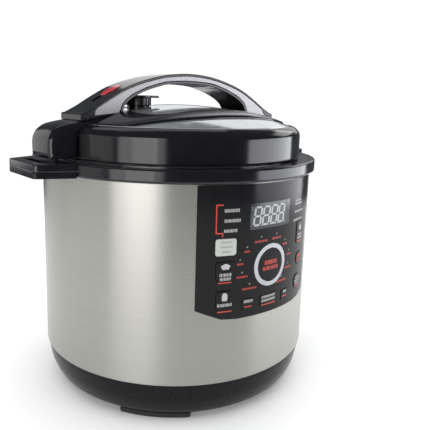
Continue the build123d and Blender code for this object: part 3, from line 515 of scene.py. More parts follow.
# %% Base bowl with its vents
def slot_block(name, length, width, low, high):
    """A round-ended slot, standing upright at the origin, for cutting."""
    half, r = length / 2 - width / 2, width / 2
    outline = [(half + r * cos(a), r * sin(a)) for a in (radians(d) for d in range(-90, 91, 30))]
    outline += [(-x, -y) for x, y in outline]
    bm = bmesh.new()
    add_slab(bm, outline, low, high, upright)
    return mesh_object(name, bm)


bowl_side = fine_line([(142.0, 6.0), (149.0, 12.15), (155.0, 24.9), (157.8, 38.8), (158.5, 46.9)], 7)
bowl_outline = [
    (0.0, 6.0), (140.5, 6.0), *bowl_side[1:], (157.4, 46.9), (157.4, 46.0), (156.9, 46.0), (156.9, 46.9),
]
bowl_outline += [
    (150.5, 47.0), (150.5, 44.5), (156.0, 44.5), (155.2, 38.0), (152.5, 26.0), (147.0, 14.6), (139.0, 8.5),
    (0.0, 8.5),
]
bowl = turned("base_bowl", bowl_outline)
for count, radius, length in ((16, 67.2, 22.0), (10, 38.4, 16.0)):
    block = slot_block("vent_cutter", length, 4.0, 4.0, 10.0)
    cut(bowl, ring_of("vents", block, count, radius, matte))
well = slot_block("well_cutter", 9.2, 9.1, 5.0, 7.8)
cut(bowl, ring_of("screw_wells", well, 4, 100.0, matte, 45.0))
bowl_finish = surface(
    "bowl_black_moulding", (0.006, 0.006, 0.007), (0.009, 0.009, 0.010), (0.22, 0.28), 300.0, bump=0.01,
    Specular_IOR_Level=0.13,
)
finish(bowl, "housing", bowl_finish, "gloss_black", "base_cover")
for node, body, material, slot, radius in (
    ("feet", "housing", rubber, "foot_rubber", 0.8),
    ("base_screws", "housing", zinc, "zinc_steel", 0.2),
    ("standoffs", "housing", zinc, "zinc_steel", 0.2),
):
    finish(softened(node, radius), body, material, slot, node)
print("base done")

# %% [markdown]
# ## Rim and side handles
# The plastic rim caps the steel and grows two flat handles, each with a slot in which the lid can be
# parked upright. The rim is turned, the handles are pushed outlines with rounded upper edges, and a
# separate lower grip closes each handle from below.

# %% Rim
rim_outline = rounded([
    (145.7, 267.5, 0.8), (165.6, 267.5, 2.2), (165.6, 254.0, 2.4), (158.8, 254.0), (158.8, 244.2),
    (156.0, 244.2),
    (156.0, 256.0), (150.2, 256.0), (150.2, 264.0), (145.7, 264.0),
])
rim_bm = bmesh.new()
add_turned(rim_bm, rim_outline)
handle_plan = [(157.0, 49.4), (161.0, 49.2), (192.4, 35.7), (194.9, 34.3), (196.4, 32.2), (197.0, 29.6)]
handle_plan += [(x, -y) for x, y in handle_plan[::-1]]
for side in (1, -1):
    plan = [(side * x, side * y) for x, y in handle_plan]
    add_slab(rim_bm, plan, 259.5, 267.5, upright, 1.3)
rim = mesh_object("rim_and_handles", rim_bm)
for side in (1, -1):
    bm = bmesh.new()
    near, far = side * 181.5 - 4, side * 181.5 + 4
    hole = rounded([(near, -21, 1.5), (far, -21, 1.5), (far, 21, 1.5), (near, 21, 1.5)])
    add_slab(bm, hole, 250.0, 270.0, upright)
    cut(rim, mesh_object("slot_cutter", bm), 32.0, True)
finish(rim, "housing", gloss, "gloss_black", "housing_rim")
finish(softened("side_grips", 0.8), "housing", gloss, "gloss_black", "side_grips")
print("rim", len(rim.data.polygons))

# %% [markdown]
# ## Liner, heater and inner pot
# Under the lid sits the spun liner with its six locking lugs, the cast heating plate and the
# removable pot. They show as soon as the lid is lifted, so they get metal finishes of their own.

# %% Inside pieces
pot = turned("inner_pot_detail", rounded([
    (0.0, 50.0), (130.0, 50.0, 12.0), (130.0, 252.5), (136.5, 252.5), (136.5, 253.7), (128.8, 253.7, 0.6),
    (128.8, 53.0, 12.0), (0.0, 53.0),
], 8))
finish(pot, "pot", pot_finish, "pot_steel", "inner_pot")
for node, body, material, slot, radius in (
    ("liner", "housing", aluminium, "liner_aluminium", 0.3),
    ("heating_plate", "housing", cast, "cast_aluminium", 0.6),
    ("thermostat", "housing", cast, "cast_aluminium", 0.4),
    ("pressure_switch", "housing", white_moulding, "white_plastic", 0.3),
    ("sensor_bracket", "housing", zinc, "zinc_steel", 0.2),
    ("control_board", "housing", board, "circuit_green", 0.1),
    ("power_board", "housing", board, "circuit_green", 0.2),
    ("key_carrier", "housing", matte, "matte_black", 0.0),
    ("key_mat", "housing", grey_silicone, "silicone_grey", 0.2),
    ("display_module", "housing", matte, "display_dark", 0.3),
    ("power_inlet", "housing", matte, "matte_black", 0.5),
    ("inlet_pins", "housing", brass, "brass_pins", 0.2),
    ("cup_bracket", "housing", matte, "matte_black", 0.3),
    ("condensation_cup", "cup", clear, "clear_plastic", 0.3),
    ("sealing_ring", "lid_seal", silicone, "silicone_clear", 0.6),
    ("seal_rack", "lid_seal", zinc, "zinc_steel", 0.0),
    ("steam_pipe", "lid", zinc, "zinc_steel", 0.3),
    ("anti_block_shield", "lid", pot_finish, "pot_steel", 0.2),
    ("handle_screws", "lid", zinc, "zinc_steel", 0.2),
    ("float_valve", "float", float_finish, "float_metal", 0.4),
    ("float_seal", "float", silicone, "silicone_clear", 0.3),
):
    finish(softened(node, radius), body, material, slot, node)
print("inside done")

# %% [markdown]
# ## Control panel
# The panel is a thin moulding bent round the body, covered with a dark film. Its two long sides
# slope back to the steel. A fine grid is bent on the cylinder, trimmed to the outline, and the
# display window and the keys are cut out of it.

# %% Panel moulding
key_table = [
    ("key_menu_select", 0.0, 167.19, 35.0, 0.0),
    ("key_keep_warm", -19.5, 191.76, 22.0, 17.0),
    ("key_meat", -19.5, 167.19, 20.0, 20.0),
    ("key_canning", -19.5, 137.16, 18.0, 20.0),
    ("key_time", -10.0, 129.65, 15.0, 12.0),
    ("key_delay", -0.5, 129.65, 24.0, 12.0),
    ("key_minus", 9.0, 128.97, 12.0, 12.0),
    ("key_heat", 19.0, 193.12, 16.0, 24.0),
    ("key_cancel", 19.5, 163.09, 15.0, 0.0),
    ("key_plus", 19.0, 136.48, 17.0, 0.0),
]


def on_wall(angle, level, radius):
    """The point at an angle from the front, a level and a distance from the axis, in mm."""
    a = radians(angle)
    return (radius * sin(a), -radius * cos(a), level)


def add_bent_plate(bm, angles, levels, back, front):
    """A plate bent round the Z axis; front gives its outer radius at each (angle, level)."""
    outer = [[bm.verts.new(Vector(on_wall(a, z, front(a, z))) * MM) for a in angles] for z in levels]
    inner = [[bm.verts.new(Vector(on_wall(a, z, back)) * MM) for a in angles] for z in levels]
    rows, cols = len(levels), len(angles)
    for i in range(rows - 1):
        for k in range(cols - 1):
            bm.faces.new((outer[i][k], outer[i][k + 1], outer[i + 1][k + 1], outer[i + 1][k]))
            bm.faces.new((inner[i][k], inner[i + 1][k], inner[i + 1][k + 1], inner[i][k + 1]))
    for k in range(cols - 1):
        bm.faces.new((outer[0][k], inner[0][k], inner[0][k + 1], outer[0][k + 1]))
        bm.faces.new((outer[-1][k], outer[-1][k + 1], inner[-1][k + 1], inner[-1][k]))
    for i in range(rows - 1):
        bm.faces.new((outer[i][0], outer[i + 1][0], inner[i + 1][0], inner[i][0]))
        bm.faces.new((outer[i][-1], inner[i][-1], inner[i + 1][-1], outer[i + 1][-1]))


def sloped_front(angle, level):
    """Full thickness over the middle, falling away to the two long sides."""
    share = min(1.0, (30.0 - abs(angle)) / 3.8)
    return 160.5 + 2.1 * share


def steps_between(low, high, count):
    """Evenly spaced values from low to high."""
    return [low + (high - low) * k / count for k in range(count + 1)]


panel_bm = bmesh.new()
panel_angles = [-30.0, -28.1, *steps_between(-26.2, 26.2, 84), 28.1, 30.0]
add_bent_plate(panel_bm, panel_angles, steps_between(116.0, 252.5, 30), 160.0, sloped_front)
panel = mesh_object("panel_moulding", panel_bm, 20.0)
trim_outline = [
    (-90, 110), (90, 110), (90, 128), (81.3, 128), (57.3, 117.5), (41.3, 116.05), (-41.3, 116.05),
    (-57.3, 117.5), (-81.3, 128), (-90, 128),
]
bm = bmesh.new()
add_slab(bm, trim_outline, -180.0, -100.0, across)
cut(panel, mesh_object("outline_cutter", bm), 20.0)
bm = bmesh.new()
add_slab(
    bm, rounded([(-29, 206.24, 1.5), (29, 206.24, 1.5), (29, 233.24, 1.5), (-29, 233.24, 1.5)]), -180.0,
    -100.0, across,
)
cut(panel, mesh_object("window_cutter", bm), 20.0)


def key_outline(width, height, gap):
    """A key's outline in its own plane, grown by the gap."""
    if height:
        w, h = width / 2 + gap, height / 2 + gap
        return rounded([(-w, -h, 3.0), (w, -h, 3.0), (w, h, 3.0), (-w, h, 3.0)], 5)
    reach = width / 2 + gap
    return [(reach * cos(2 * pi * k / 48), reach * sin(2 * pi * k / 48)) for k in range(48)]


def facing_out(angle, level):
    """Maps a flat outline to the plane that faces out at an angle and a level.

    Depth is the distance from the axis.
    """
    a = radians(angle)
    return lambda u, v, depth: (u * cos(a) + depth * sin(a), u * sin(a) - depth * cos(a), level + v)


for name, angle, level, width, height in key_table:
    bm = bmesh.new()
    add_slab(bm, key_outline(width, height, 0.35), 150.0, 175.0, facing_out(angle, level))
    cut(panel, mesh_object("key_cutter", bm), 20.0)
finish(panel, "housing", panel_finish, "gloss_black", "panel_fascia")
print("panel", len(panel.data.polygons))

# %% [markdown]
# ## Keys, prints and display
# Each key is its own cap on its own body, so that it can be pressed. The symbols and bars are very
# thin raised ink, bent to the same cylinder. Words are left as rows of plain dashes.

# %% Keys
for name, angle, level, width, height in key_table:
    cap_finish = pale_key if name == "key_keep_warm" else key_finish
    cap_slot = {"key_keep_warm": "silver_trim", "key_cancel": "red_trim"}.get(name, "key_black")
    finish(softened(name, 0.45, 28.0, 3), name + "_body", cap_finish, cap_slot, name)
lens_piece = softened("display_lens", 0.15)
finish(lens_piece, "housing", lens, "lens_smoke", "display_lens")
ring = softened("menu_ring", 0.2)
finish(ring, "housing", ring_trim, "silver_trim", "menu_ring")

# %% [markdown]
# ## Prints on the panel
# Bars, dashes and small signs are built as thin raised plates, so they stay crisp at any size.
# Each print rides on the key that it is printed on.

# %% Ink
INK = 0.07


def add_ink(bm, angle, level, width, height, radius, slant=0.0):
    """A small bar of ink on a cylinder, centred at an angle and level; slant shears it sideways."""
    turn = degrees(1.0 / radius)
    columns = max(1, int(width / 2.5))
    angles = [angle + turn * width * (k / columns - 0.5) for k in range(columns + 1)]
    lean = turn * slant * height / 2
    front, back = (
        [[Vector(on_wall(a + s * lean, level + s * height / 2, r)) for a in angles] for s in (-1, 1)]
        for r in (radius + INK, radius - INK)
    )
    f = [[bm.verts.new(p * MM) for p in row] for row in front]
    b = [[bm.verts.new(p * MM) for p in row] for row in back]
    for k in range(columns):
        bm.faces.new((f[0][k], f[0][k + 1], f[1][k + 1], f[1][k]))
        bm.faces.new((b[0][k], b[1][k], b[1][k + 1], b[0][k + 1]))
        bm.faces.new((f[0][k], b[0][k], b[0][k + 1], f[0][k + 1]))
        bm.faces.new((f[1][k], f[1][k + 1], b[1][k + 1], b[1][k]))
    bm.faces.new((f[0][0], f[1][0], b[1][0], b[0][0]))
    bm.faces.new((f[0][-1], b[0][-1], b[1][-1], f[1][-1]))


def add_dashes(bm, angle, level, width, height, radius, count):
    """A row of plain dashes that fills the room of a word."""
    turn = degrees(1.0 / radius)
    count *= 2
    pitch = width / count
    for k in range(count):
        share = (0.50, 0.66, 0.42, 0.58)[(k * 3 + count) % 4]
        add_ink(bm, angle + turn * pitch * (k + 0.5 - count / 2), level, pitch * share, height, radius)


def add_symbol(bm, angle, level, outline, radius):
    """A small flat symbol on the wall."""
    add_slab(bm, outline, radius - 0.3, radius + 0.12, facing_out(angle, level))


film = 162.6
cap = 163.3
white_prints = {
    "housing": [
        (-17.7, 228.0, 16.5, 3.2, 5), (-17.4, 218.0, 17.5, 3.2, 6), (-18.0, 208.0, 14.5, 3.2, 5),
        (16.6, 228.9, 15.0, 2.2, 6), (17.0, 225.3, 17.0, 2.4, 6), (17.7, 216.9, 22.0, 2.4, 7),
        (17.0, 207.7, 22.0, 2.4, 8),
    ],
    "key_meat_body": [(-19.5, 163.9, 13.0, 3.2, 4), (-19.5, 159.6, 12.0, 3.2, 4)],
    "key_canning_body": [(-19.5, 132.6, 16.0, 3.2, 6)],
    "key_time_body": [(-10.0, 133.2, 11.0, 3.2, 4)],
    "key_delay_body": [(-0.5, 133.6, 20.0, 2.7, 8), (-0.5, 129.6, 20.0, 2.7, 8)],
    "key_minus_body": [(9.0, 132.2, 6.0, 3.0, 2)],
    "key_heat_body": [(19.0, 190.2, 11.0, 2.4, 3), (19.0, 186.6, 12.0, 2.4, 4)],
    "key_plus_body": [(19.0, 140.6, 11.0, 2.0, 4), (19.0, 137.2, 13.0, 2.0, 5), (19.0, 133.8, 9.0, 2.0, 4)],
}
red_prints = {
    "key_menu_select_body": [(-0.2, 170.3, 18.0, 4.6, 4), (-0.2, 164.2, 22.0, 4.2, 6)],
    "key_cancel_body": [(19.5, 165.5, 9.0, 3.4, 3), (19.5, 160.8, 9.0, 2.2, 4)],
}
red_bars = {
    "housing": [
        (-19.5, 155.5, 14.0, 1.2), (-19.2, 125.4, 15.5, 1.2),
        (-23.3, 219.9, 1.2, 28.6), (-22.1, 233.8, 7.2, 1.2), (-22.1, 205.9, 7.2, 1.2),
        (-20.9, 204.0, 1.2, 3.4),
    ],
    "key_time_body": [(-10.0, 127.3, 9.0, 1.2)],
    "key_delay_body": [(-0.5, 125.2, 20.0, 1.2)],
    "key_minus_body": [(9.0, 127.2, 8.5, 1.2)],
    "key_heat_body": [(19.0, 182.7, 13.0, 1.2)],
    "key_plus_body": [(19.0, 130.6, 10.0, 1.1)],
}
preset_words = [
    (-5.1, 193.8, 17.0, 6), (2.6, 194.4, 14.0, 5), (7.8, 185.6, 8.0, 3), (10.8, 172.6, 8.0, 3),
    (10.6, 158.2, 12.0, 4),
    (6.6, 145.8, 17.0, 6), (-9.6, 146.3, 18.0, 7), (-12.9, 159.5, 13.0, 5), (-13.9, 173.0, 7.5, 3),
    (-11.2, 185.1, 7.2, 3),
]
for body, rows in white_prints.items():
    bm = bmesh.new()
    for angle, level, width, height, count in rows:
        add_dashes(bm, angle, level, width, height, film if body == "housing" else cap, count)
    if body == "key_meat_body":
        lid_shape = rounded(
            [
                (-4.6, 0.2, 0.4), (-3.4, -2.8, 0.8), (3.4, -2.8, 0.8), (4.6, 0.2, 0.4), (5.2, 1.0, 0.3),
                (3.4, 1.6, 0.5), (1.6, 2.9, 0.6), (-1.6, 2.9, 0.6), (-3.4, 1.6, 0.5), (-5.2, 1.0, 0.3),
            ],
            3,
        )
        add_symbol(bm, -19.5, 172.2, lid_shape, cap)
    if body == "key_canning_body":
        jar_shape = rounded(
            [
                (-2.8, -4.0, 1.2), (2.8, -4.0, 1.2), (3.0, 2.2, 0.9), (1.9, 3.2, 0.2), (2.1, 4.2, 0.2),
                (-2.1, 4.2, 0.2), (-1.9, 3.2, 0.2), (-3.0, 2.2, 0.9),
            ],
            3,
        )
        add_symbol(bm, -19.5, 140.8, jar_shape, cap)
    if body == "key_heat_body":
        flame_shape = rounded(
            [
                (0.4, -4.4, 1.2), (3.4, -1.4, 1.4), (2.2, 1.4, 0.6), (0.6, 4.6, 0.2), (-1.6, 1.2, 0.8),
                (-3.4, -1.2, 1.4),
            ],
            4,
        )
        add_symbol(bm, 19.0, 198.4, flame_shape, cap)
    finish(mesh_object("white_print_" + body, bm), body, print_white, "white_plastic")
for body in sorted(set(red_prints) | set(red_bars)):
    bm = bmesh.new()
    radius = film if body == "housing" else cap
    for angle, level, width, height, count in red_prints.get(body, []):
        add_dashes(bm, angle, level, width, height, radius, count)
    for angle, level, width, height in red_bars.get(body, []):
        add_ink(bm, angle, level, width, height, radius)
    if body == "housing":
        for angle, level, width, count in preset_words:
            add_dashes(bm, angle, level, width, 2.0, film, count)
    finish(mesh_object("red_print_" + body, bm), body, print_red, "red_trim")
bm = bmesh.new()
for row, width in ((197.0, 12.0), (192.2, 13.0), (187.4, 9.0)):
    add_dashes(bm, -19.5, row, width, 1.9, cap, 5)
finish(mesh_object("keep_warm_print", bm), "key_keep_warm_body", print_grey, "key_black")
bm = bmesh.new()
for angle, level, width, count in preset_words:
    add_ink(bm, angle, level + 4.6, 1.5, 1.5, film)
finish(mesh_object("preset_lamps", bm), "housing", print_grey, "display_dark")

# %% [markdown]
# ## Display
# The digits are seven-segment bars behind the window, on a paler backing plate.

# %% Display digits
bm = bmesh.new()
segments = [
    (0, 4.3, 1), (0, 0, 1), (0, -4.3, 1), (-3.2, 2.15, 0), (3.2, 2.15, 0), (-3.2, -2.15, 0),
    (3.2, -2.15, 0),
]
glass = 162.4
for k in range(4):
    centre = 1.5 * (k - 1.5) * 7.4
    for u, v, level_bar in segments:
        size = (5.6, 1.9) if level_bar else (1.9, 3.3)
        turn = degrees(1.0 / glass)
        lean = 0.12 * v * 2.1
        add_ink(
            bm, -1.2 + turn * (centre + u * 1.25 + lean), 220.0 + v * 2.1, size[0] * 1.15,
            size[1] * (1.0 if level_bar else 2.1), glass, 0.0 if level_bar else 0.12,
        )
    add_ink(bm, -1.2 + degrees(1.0 / glass) * (centre + 5.4), 210.6, 1.3, 1.3, glass)
finish(mesh_object("display_digits", bm), "housing", digit_finish, "display_dark")
bm = bmesh.new()
add_ink(bm, -1.4, 219.8, 50.0, 20.5, 162.36, 0.1)
display_back = surface(
    "display_backing", (0.045, 0.048, 0.048), (0.060, 0.064, 0.064), (0.25, 0.32), 160.0, bump=0.01,
)
finish(mesh_object("display_backing", bm), "housing", display_back, "display_dark")
print("panel prints done")

# %% [markdown]
# ## Lid
# The lid is a polished steel dome clipped under a black collar. A black saddle lies over the dome,
# cut away at the front and back so that a crescent of steel shows, and open in the middle under the
# handle. The dome and saddle both follow one sphere, so one small function gives their height.

# %% Dome, collar and seal side
SPHERE = (136.0**2 + 23.0**2) / 46.0


def dome(radius, lift=0.0):
    """Height of the lid's dome at a distance from the axis."""
    return 326.0 - SPHERE + sqrt(SPHERE**2 - radius**2) + lift


dome_top = [(r, dome(r)) for r in steps_between(0.0, 132.6, 30)]
dome_under = [(r, dome(r, -1.5)) for r in steps_between(133.6, 0.0, 30)]
edge = dome(134.4)
bead = [(133.2, edge + 0.5), (133.8, edge + 0.9), (134.4, edge + 0.6)]
wall = [(137.4, edge - 4.3), (137.4, 256.5), (135.9, 256.5), (135.9, edge - 5.1)]
steel_lid = turned("polished_dome", [*dome_top, *bead, *wall, *dome_under])
lug_bm = bmesh.new()
lug_angles = steps_between(-12.5, 12.5, 10)
add_bent_plate(lug_bm, lug_angles, [256.5, 259.5], 136.9, lambda a, z: 142.8)
lug_piece = mesh_object("lid_lug", lug_bm)
lug_piece.data.transform(Matrix.Rotation(pi / 2, 4, "Z"))
lug_ring = ring_of("lid_lugs", lug_piece, 6, 0.01, lid_finish, 30.0)
finish(lug_ring, "lid", lid_finish, "lid_steel")
finish(steel_lid, "lid", lid_finish, "lid_steel", "lid_steel")
collar = turned("lid_collar", [
    (138.4, 269.0), (145.8, 269.0), (146.65, 269.35), (147.0, 270.2),
    *fine_line(
        [(147.0, 292.0), (146.4, 296.0), (144.0, 299.8), (140.4, 302.6), (137.4, 303.9), (135.6, 304.2)], 5,
    ),
    (135.5, 303.3), (138.4, 298.0), (138.4, 295.0), (144.6, 289.0), (144.6, 271.4), (138.4, 271.4),
])
finish(collar, "lid", gloss, "gloss_black", "lid_cover")

# %% [markdown]
# ## Saddle
# The saddle's edge is where two wide circles cross the lid, so its reach changes with the angle. At
# each end it runs down the lid's side as a hump, built from cross-sections joined in a row.

# %% Saddle and its two humps
def saddle_reach(turn):
    """Distance from the axis to the saddle's outer edge at an angle."""
    across_part = abs(sin(turn))
    reach = -125.0 * across_part + sqrt((125.0 * across_part) ** 2 + 225.0**2 - 125.0**2)
    return min(reach, 133.8)


def opening_reach(turn):
    """Distance from the axis to the saddle's central opening, a rectangle with round corners."""
    c, s = abs(cos(turn)), abs(sin(turn))
    reach = min(85.3 / max(c, 1e-6), 70.6 / max(s, 1e-6))
    if reach * c > 55.3 and reach * s > 40.6:
        b = c * 55.3 + s * 40.6
        reach = b + sqrt(b * b - (55.3**2 + 40.6**2 - 30.0**2))
    return reach


bm = bmesh.new()
stations = [(0.0, 0.0), (0.0, 1.3), (0.35, 2.05), (1.0, 2.5), (2.0, 2.6)]
count = 288
rings = []
for k in range(count):
    turn = 2 * pi * k / count
    inner, outer = opening_reach(turn), saddle_reach(turn)
    line = [(inner + d, h) for d, h in stations]
    line += [(inner + 2.0 + (outer - inner - 4.0) * t, 2.6) for t in steps_between(0, 1, 12)[1:-1]]
    line += [(outer - d, h) for d, h in reversed(stations)]
    line += [(outer + (inner - outer) * t, 0.0) for t in steps_between(0, 1, 6)[1:-1]]
    rings.append([bm.verts.new(Vector((r * cos(turn), r * sin(turn), dome(r, h))) * MM) for r, h in line])
for one, two in zip(rings, rings[1:] + rings[:1]):
    size = len(one)
    for i in range(size):
        n = (i + 1) % size
        bm.faces.new((one[i], two[i], two[n], one[n]))
HUMP_ROUND = 6.5
hump_top = fine_line(
    [
        (176.0, 274.0), (176.0, 287.0), (173.6, 294.4), (168.6, 300.3), (160.0, 304.7), (142.0, 308.2),
        (128.0, 309.9), (112.0, 312.4),
    ],
    6,
)
hump_under = [
    (112.0, 309.8), (134.0, 303.0), (144.0, 299.0), (146.2, 294.0), (147.2, 289.0), (147.2, 270.6),
    (175.0, 270.6),
]
for side in (1, -1):
    sections = []
    for s, t in [(-1, a) for a in steps_between(0, pi / 2, 6)] + [(1, a) for a in steps_between(pi / 2, 0, 6)]:
        y = s * (25.0 - HUMP_ROUND + HUMP_ROUND * cos(t))
        inset = HUMP_ROUND * (1 - sin(t))
        ring = []
        for i, (x, z) in enumerate(hump_top):
            x0, z0 = hump_top[max(i - 1, 0)]
            x1, z1 = hump_top[min(i + 1, len(hump_top) - 1)]
            normal = Vector((-(z0 - z1), x0 - x1)).normalized()
            fade = min(1.0, (x - 112.0) / 30.0)
            ring.append((x - abs(normal.x) * inset * fade, y, z - abs(normal.y) * inset * fade))
        ring += [(x, y, z) for x, z in hump_under]
        sections.append([bm.verts.new(Vector((side * x, y, z)) * MM) for x, y, z in ring])
    for one, two in zip(sections, sections[1:]):
        size = len(one)
        for i in range(size):
            n = (i + 1) % size
            bm.faces.new((one[i], two[i], two[n], one[n]))
    bm.faces.new(sections[0])
    bm.faces.new(sections[-1])
saddle = mesh_object("saddle_and_humps", bm, 40.0)
finish(saddle, "lid", gloss, "gloss_black", "lid_saddle")
print("saddle", len(saddle.data.polygons))

# %% [markdown]
# ## Arched handle
# The handle is one black moulding: a top skin that overhangs, a narrower body below it, and two
# silver panels let into its sides. Each follows the same pair of curves, so each is a pushed outline.

# %% Handle curves
TOP = 361.5
outer_half = [(0, 0), (32, -2.4), (60, -8.5), (84, -16.6), (105, -27.4), (124, -38.6), (137, -45.2)]
inner_half = [
    (0, -11.6), (30, -13.0), (46, -16.4), (60, -20.6), (74, -26.4), (84, -32.6), (90, -40), (92.5, -52),
]


def arch(half, lift=0.0):
    """The whole arch from the left to the right, from the points of its right half."""
    points = [(-x, TOP + z + lift) for x, z in half[:0:-1]] + [(x, TOP + z + lift) for x, z in half]
    return fine_line(points, 7)


def beside(points, distance):
    """The same line moved sideways by a distance, measured square to it."""
    out = []
    for i, (x, z) in enumerate(points):
        x0, z0 = points[max(i - 1, 0)]
        x1, z1 = points[min(i + 1, len(points) - 1)]
        run = hypot(x1 - x0, z1 - z0)
        out.append((x - (z1 - z0) / run * distance, z + (x1 - x0) / run * distance))
    return out


outer_line, skin_line, inner_line = arch(outer_half), arch(outer_half, -2.6), arch(inner_half)
bm = bmesh.new()
thin_skin = [(x, z) for x, z in skin_line if abs(x) < 123]
lip = [(140.2, 315.6), (141.4, 314.4), (141.4, 309.0), (140.2, 307.6), (133.2, 308.2), (129.4, 310.6)]
skin = [*outer_line, *lip, *thin_skin[::-1], *((-x, z) for x, z in lip[::-1])]
add_slab(bm, skin, -23.6, 23.6, across, 0.6, 3)
under = [(x, z - 0.8) for x, z in outer_line]
core = [
    *under, (140.6, 313.5), (140.6, 307.9), (92.6, 307.9), *inner_line[::-1], (-92.6, 307.9),
    (-140.6, 307.9), (-140.6, 313.5),
]
add_slab(bm, core, -21.5, 21.5, across, 0.5, 2)
band_line = beside(inner_line, 3.3)
add_slab(bm, [*inner_line, *band_line[::-1]], -22.9, 22.9, across, 0.5, 2)
arch_body = mesh_object("arched_handle", bm, 30.0)
slot_cutter = slot_block("float_slot", 16.0, 8.0, 290.0, 370.0)
slot_cutter.data.transform(Matrix.Translation((-0.108, 0, 0)))
cut(arch_body, slot_cutter, 30.0, True)
finish(arch_body, "lid", gloss, "gloss_black", "handle_body")
for node, low, high in (("handle_side_front", -23.0, -21.4), ("handle_side_rear", 21.4, 23.0)):
    bm = bmesh.new()
    lower_skin = [(x, z - 0.3) for x, z in skin_line if abs(x) < 126]
    inner_edge = [(x, z) for x, z in beside(inner_line, 3.6)[::-1] if z > 319.5]
    panel_line = [*lower_skin, (131.0, 312.4), (96.2, 316.2), *inner_edge, (-96.2, 316.2), (-124.6, 313.6)]
    add_slab(bm, panel_line, low, high, across, 0.3, 2)
    finish(mesh_object(node + "_detail", bm, 30.0), "lid", trim, "silver_trim", node)
finish(softened("handle_badge", 0.35, 30.0, 3), "lid", red, "red_trim", "handle_badge")

# %% [markdown]
# ## Pressure knob
# The knob that sets the valve is a short fluted drum under a flat cap with a pointer. A ring of
# thin ribs made by Geometry Nodes gives the flutes. A black collar on the lid fills the space below.

# %% Knob
knob_finish = surface(
    "knob_black_moulding", (0.006, 0.006, 0.007), (0.010, 0.010, 0.011), (0.20, 0.28), 500.0, bump=0.03,
)
bm = bmesh.new()
drum = [(0.0, 324.2), (13.2, 324.2), (13.5, 324.7), (13.5, 332.6), (13.2, 333.0), (0.0, 333.0)]
add_turned(bm, drum, 72)
bmesh.ops.translate(bm, verts=bm.verts, vec=(-0.057, 0, 0))
cap_plan = [(-57 + 15.4 * cos(radians(a)), 15.4 * sin(radians(a))) for a in range(18, 343, 9)]
cap_plan += [(-34.6, -4.3), (-31.0, -3.6), (-29.6, -1.6), (-29.6, 1.6), (-31.0, 3.6), (-34.6, 4.3)]
add_slab(bm, cap_plan, 332.9, 335.6, upright, 0.6, 3)
drum_piece = mesh_object("pressure_knob_drum", bm)
finish(drum_piece, "knob", knob_finish, "matte_black", "pressure_knob")
bm = bmesh.new()
add_slab(
    bm, rounded([(-1.0, -1.0, 0.3), (1.3, -0.8, 0.6), (1.3, 0.8, 0.6), (-1.0, 1.0, 0.3)]), 324.4, 332.9,
    upright, 0.3, 2,
)
ribs = ring_of("knob_ribs", mesh_object("knob_rib", bm), 18, 13.3, knob_finish, 0.0, (-57.0, 0, 0))
ribs.data.shade_smooth()
ribs.data.set_sharp_from_angle(angle=radians(32))
finish(ribs, "knob", knob_finish, "matte_black")
bm = bmesh.new()
add_turned(bm, [(0.0, 317.2), (13.0, 317.2), (13.0, 323.7), (12.6, 324.1), (0.0, 324.1)], 64)
bmesh.ops.translate(bm, verts=bm.verts, vec=(-0.057, 0, 0))
finish(mesh_object("knob_collar", bm), "lid", knob_finish, "gloss_black")
print("lid done")

# %% [markdown]
# ## Floor, light and camera
# A pale floor, one wide soft light above and tall soft boxes round the sides: polished black shows
# only what it reflects, so the boxes are placed where their reflections should fall.

# %% Studio
bm = bmesh.new()
add_turned(bm, [(0.0, 0.0), (1250.0, 0.0), (1250.0, -2.0), (0.0, -2.0)], 128)
floor = mesh_object("studio_floor", bm)
floor_paint = surface(
    "floor_paint", (0.86, 0.86, 0.86), (0.88, 0.88, 0.88), (0.6, 0.7), 3.0, bump=0.0,
    Emission_Color=(1, 1, 1, 1), Emission_Strength=0.14,
)
floor.data.materials.append(floor_paint)

world = bpy.data.worlds.new("studio")
bpy.context.scene.world = world
world.use_nodes = True
sky = world.node_tree
backdrop = sky.nodes["Background"]
backdrop.inputs["Color"].default_value = (0.10, 0.105, 0.115, 1)
seen = sky.nodes.new("ShaderNodeBackground")
seen.inputs["Color"].default_value = (1.0, 1.0, 1.0, 1)
seen.inputs["Strength"].default_value = 1.05
ray = sky.nodes.new("ShaderNodeLightPath")
blend = sky.nodes.new("ShaderNodeMixShader")
sky.links.new(ray.outputs["Is Camera Ray"], blend.inputs["Fac"])
sky.links.new(backdrop.outputs["Background"], blend.inputs[1])
sky.links.new(seen.outputs["Background"], blend.inputs[2])
sky.links.new(blend.outputs["Shader"], sky.nodes["World Output"].inputs["Surface"])
bpy.context.scene.view_settings.view_transform = "Standard"


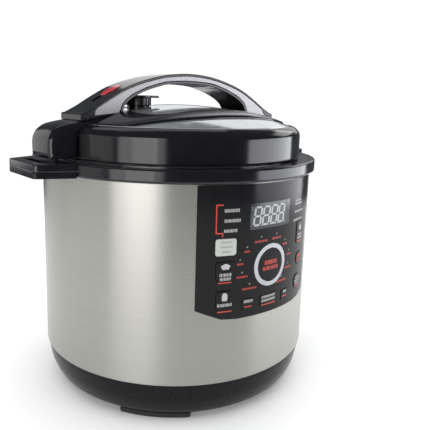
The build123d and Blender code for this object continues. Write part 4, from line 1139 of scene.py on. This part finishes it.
def soft_box(name, angle, elevation, distance, width, height, strength, aim=(0, 0, 0.2)):
    """An area light at an angle from the front and an elevation, in degrees and metres, facing the object."""
    light = bpy.data.lights.new(name, "AREA")
    light.shape = "RECTANGLE"
    light.size, light.size_y = width, height
    light.energy = strength * width * height * pi
    a, e = radians(angle), radians(elevation)
    spot = Vector((distance * cos(e) * sin(a), -distance * cos(e) * cos(a), distance * sin(e))) + Vector(aim)
    holder = bpy.data.objects.new(name, light)
    holder.location = spot
    holder.rotation_euler = (spot - Vector(aim)).to_track_quat("Z", "Y").to_euler()
    holder.visible_camera = False
    bpy.context.scene.collection.objects.link(holder)
    return holder


top_light = soft_box("top_light", -20, 86, 2.1, 3.6, 3.6, 2.2)
top_light.visible_glossy = False
soft_box("overhead_card", 160, 62, 1.8, 1.6, 0.9, 0.8)
soft_box("left_box", -65, 5, 2.3, 0.9, 1.5, 4.1)
soft_box("left_box_near_edge", -51, 5, 2.3, 0.35, 1.5, 2.3)
soft_box("left_box_far_edge", -82, 5, 2.3, 0.45, 1.5, 3.0)
soft_box("left_fill_card", -112, 5, 2.4, 1.7, 1.2, 0.9)
right_box = soft_box("right_box", 56, -1, 2.3, 2.6, 0.8, 4.7)
right_box.data.color = (0.94, 0.95, 1.0)
soft_box("high_right_card", 90, 27, 2.3, 1.3, 0.7, 2.2)
soft_box("back_left_box", -150, 12, 2.2, 1.6, 1.4, 0.9)
soft_box("back_right_box", 131, 24, 2.2, 2.2, 1.1, 0.85)

camera = bpy.data.cameras.new("camera")
camera.sensor_width = 36.0
camera.lens = 36.0 * 518.921 / 430.0
camera.shift_x = 0.0535
camera.shift_y = -0.0465
camera.clip_start = 0.01
holder = bpy.data.objects.new("camera", camera)
bpy.context.scene.collection.objects.link(holder)
swing, pitch, yaw, roll = radians(37.0), 0.1818, 0.0302, 0.0225


def turned_by_swing(v):
    """A direction from the camera's own frame, swung round to the object's."""
    return Vector((v[0] * cos(swing) + v[1] * sin(swing), -v[0] * sin(swing) + v[1] * cos(swing), v[2]))


look = turned_by_swing((sin(yaw) * cos(pitch), cos(yaw) * cos(pitch), -sin(pitch)))
level = turned_by_swing((cos(yaw), -sin(yaw), 0.0))
above = level.cross(look)
right = level * cos(roll) + above * sin(roll)
up = above * cos(roll) - level * sin(roll)
holder.matrix_world = Matrix((
    (right.x, up.x, -look.x, -0.640 * sin(swing)),
    (right.y, up.y, -look.y, -0.640 * cos(swing)),
    (right.z, up.z, -look.z, 0.33208),
    (0, 0, 0, 1),
))
bpy.context.scene.camera = holder
print("camera set")
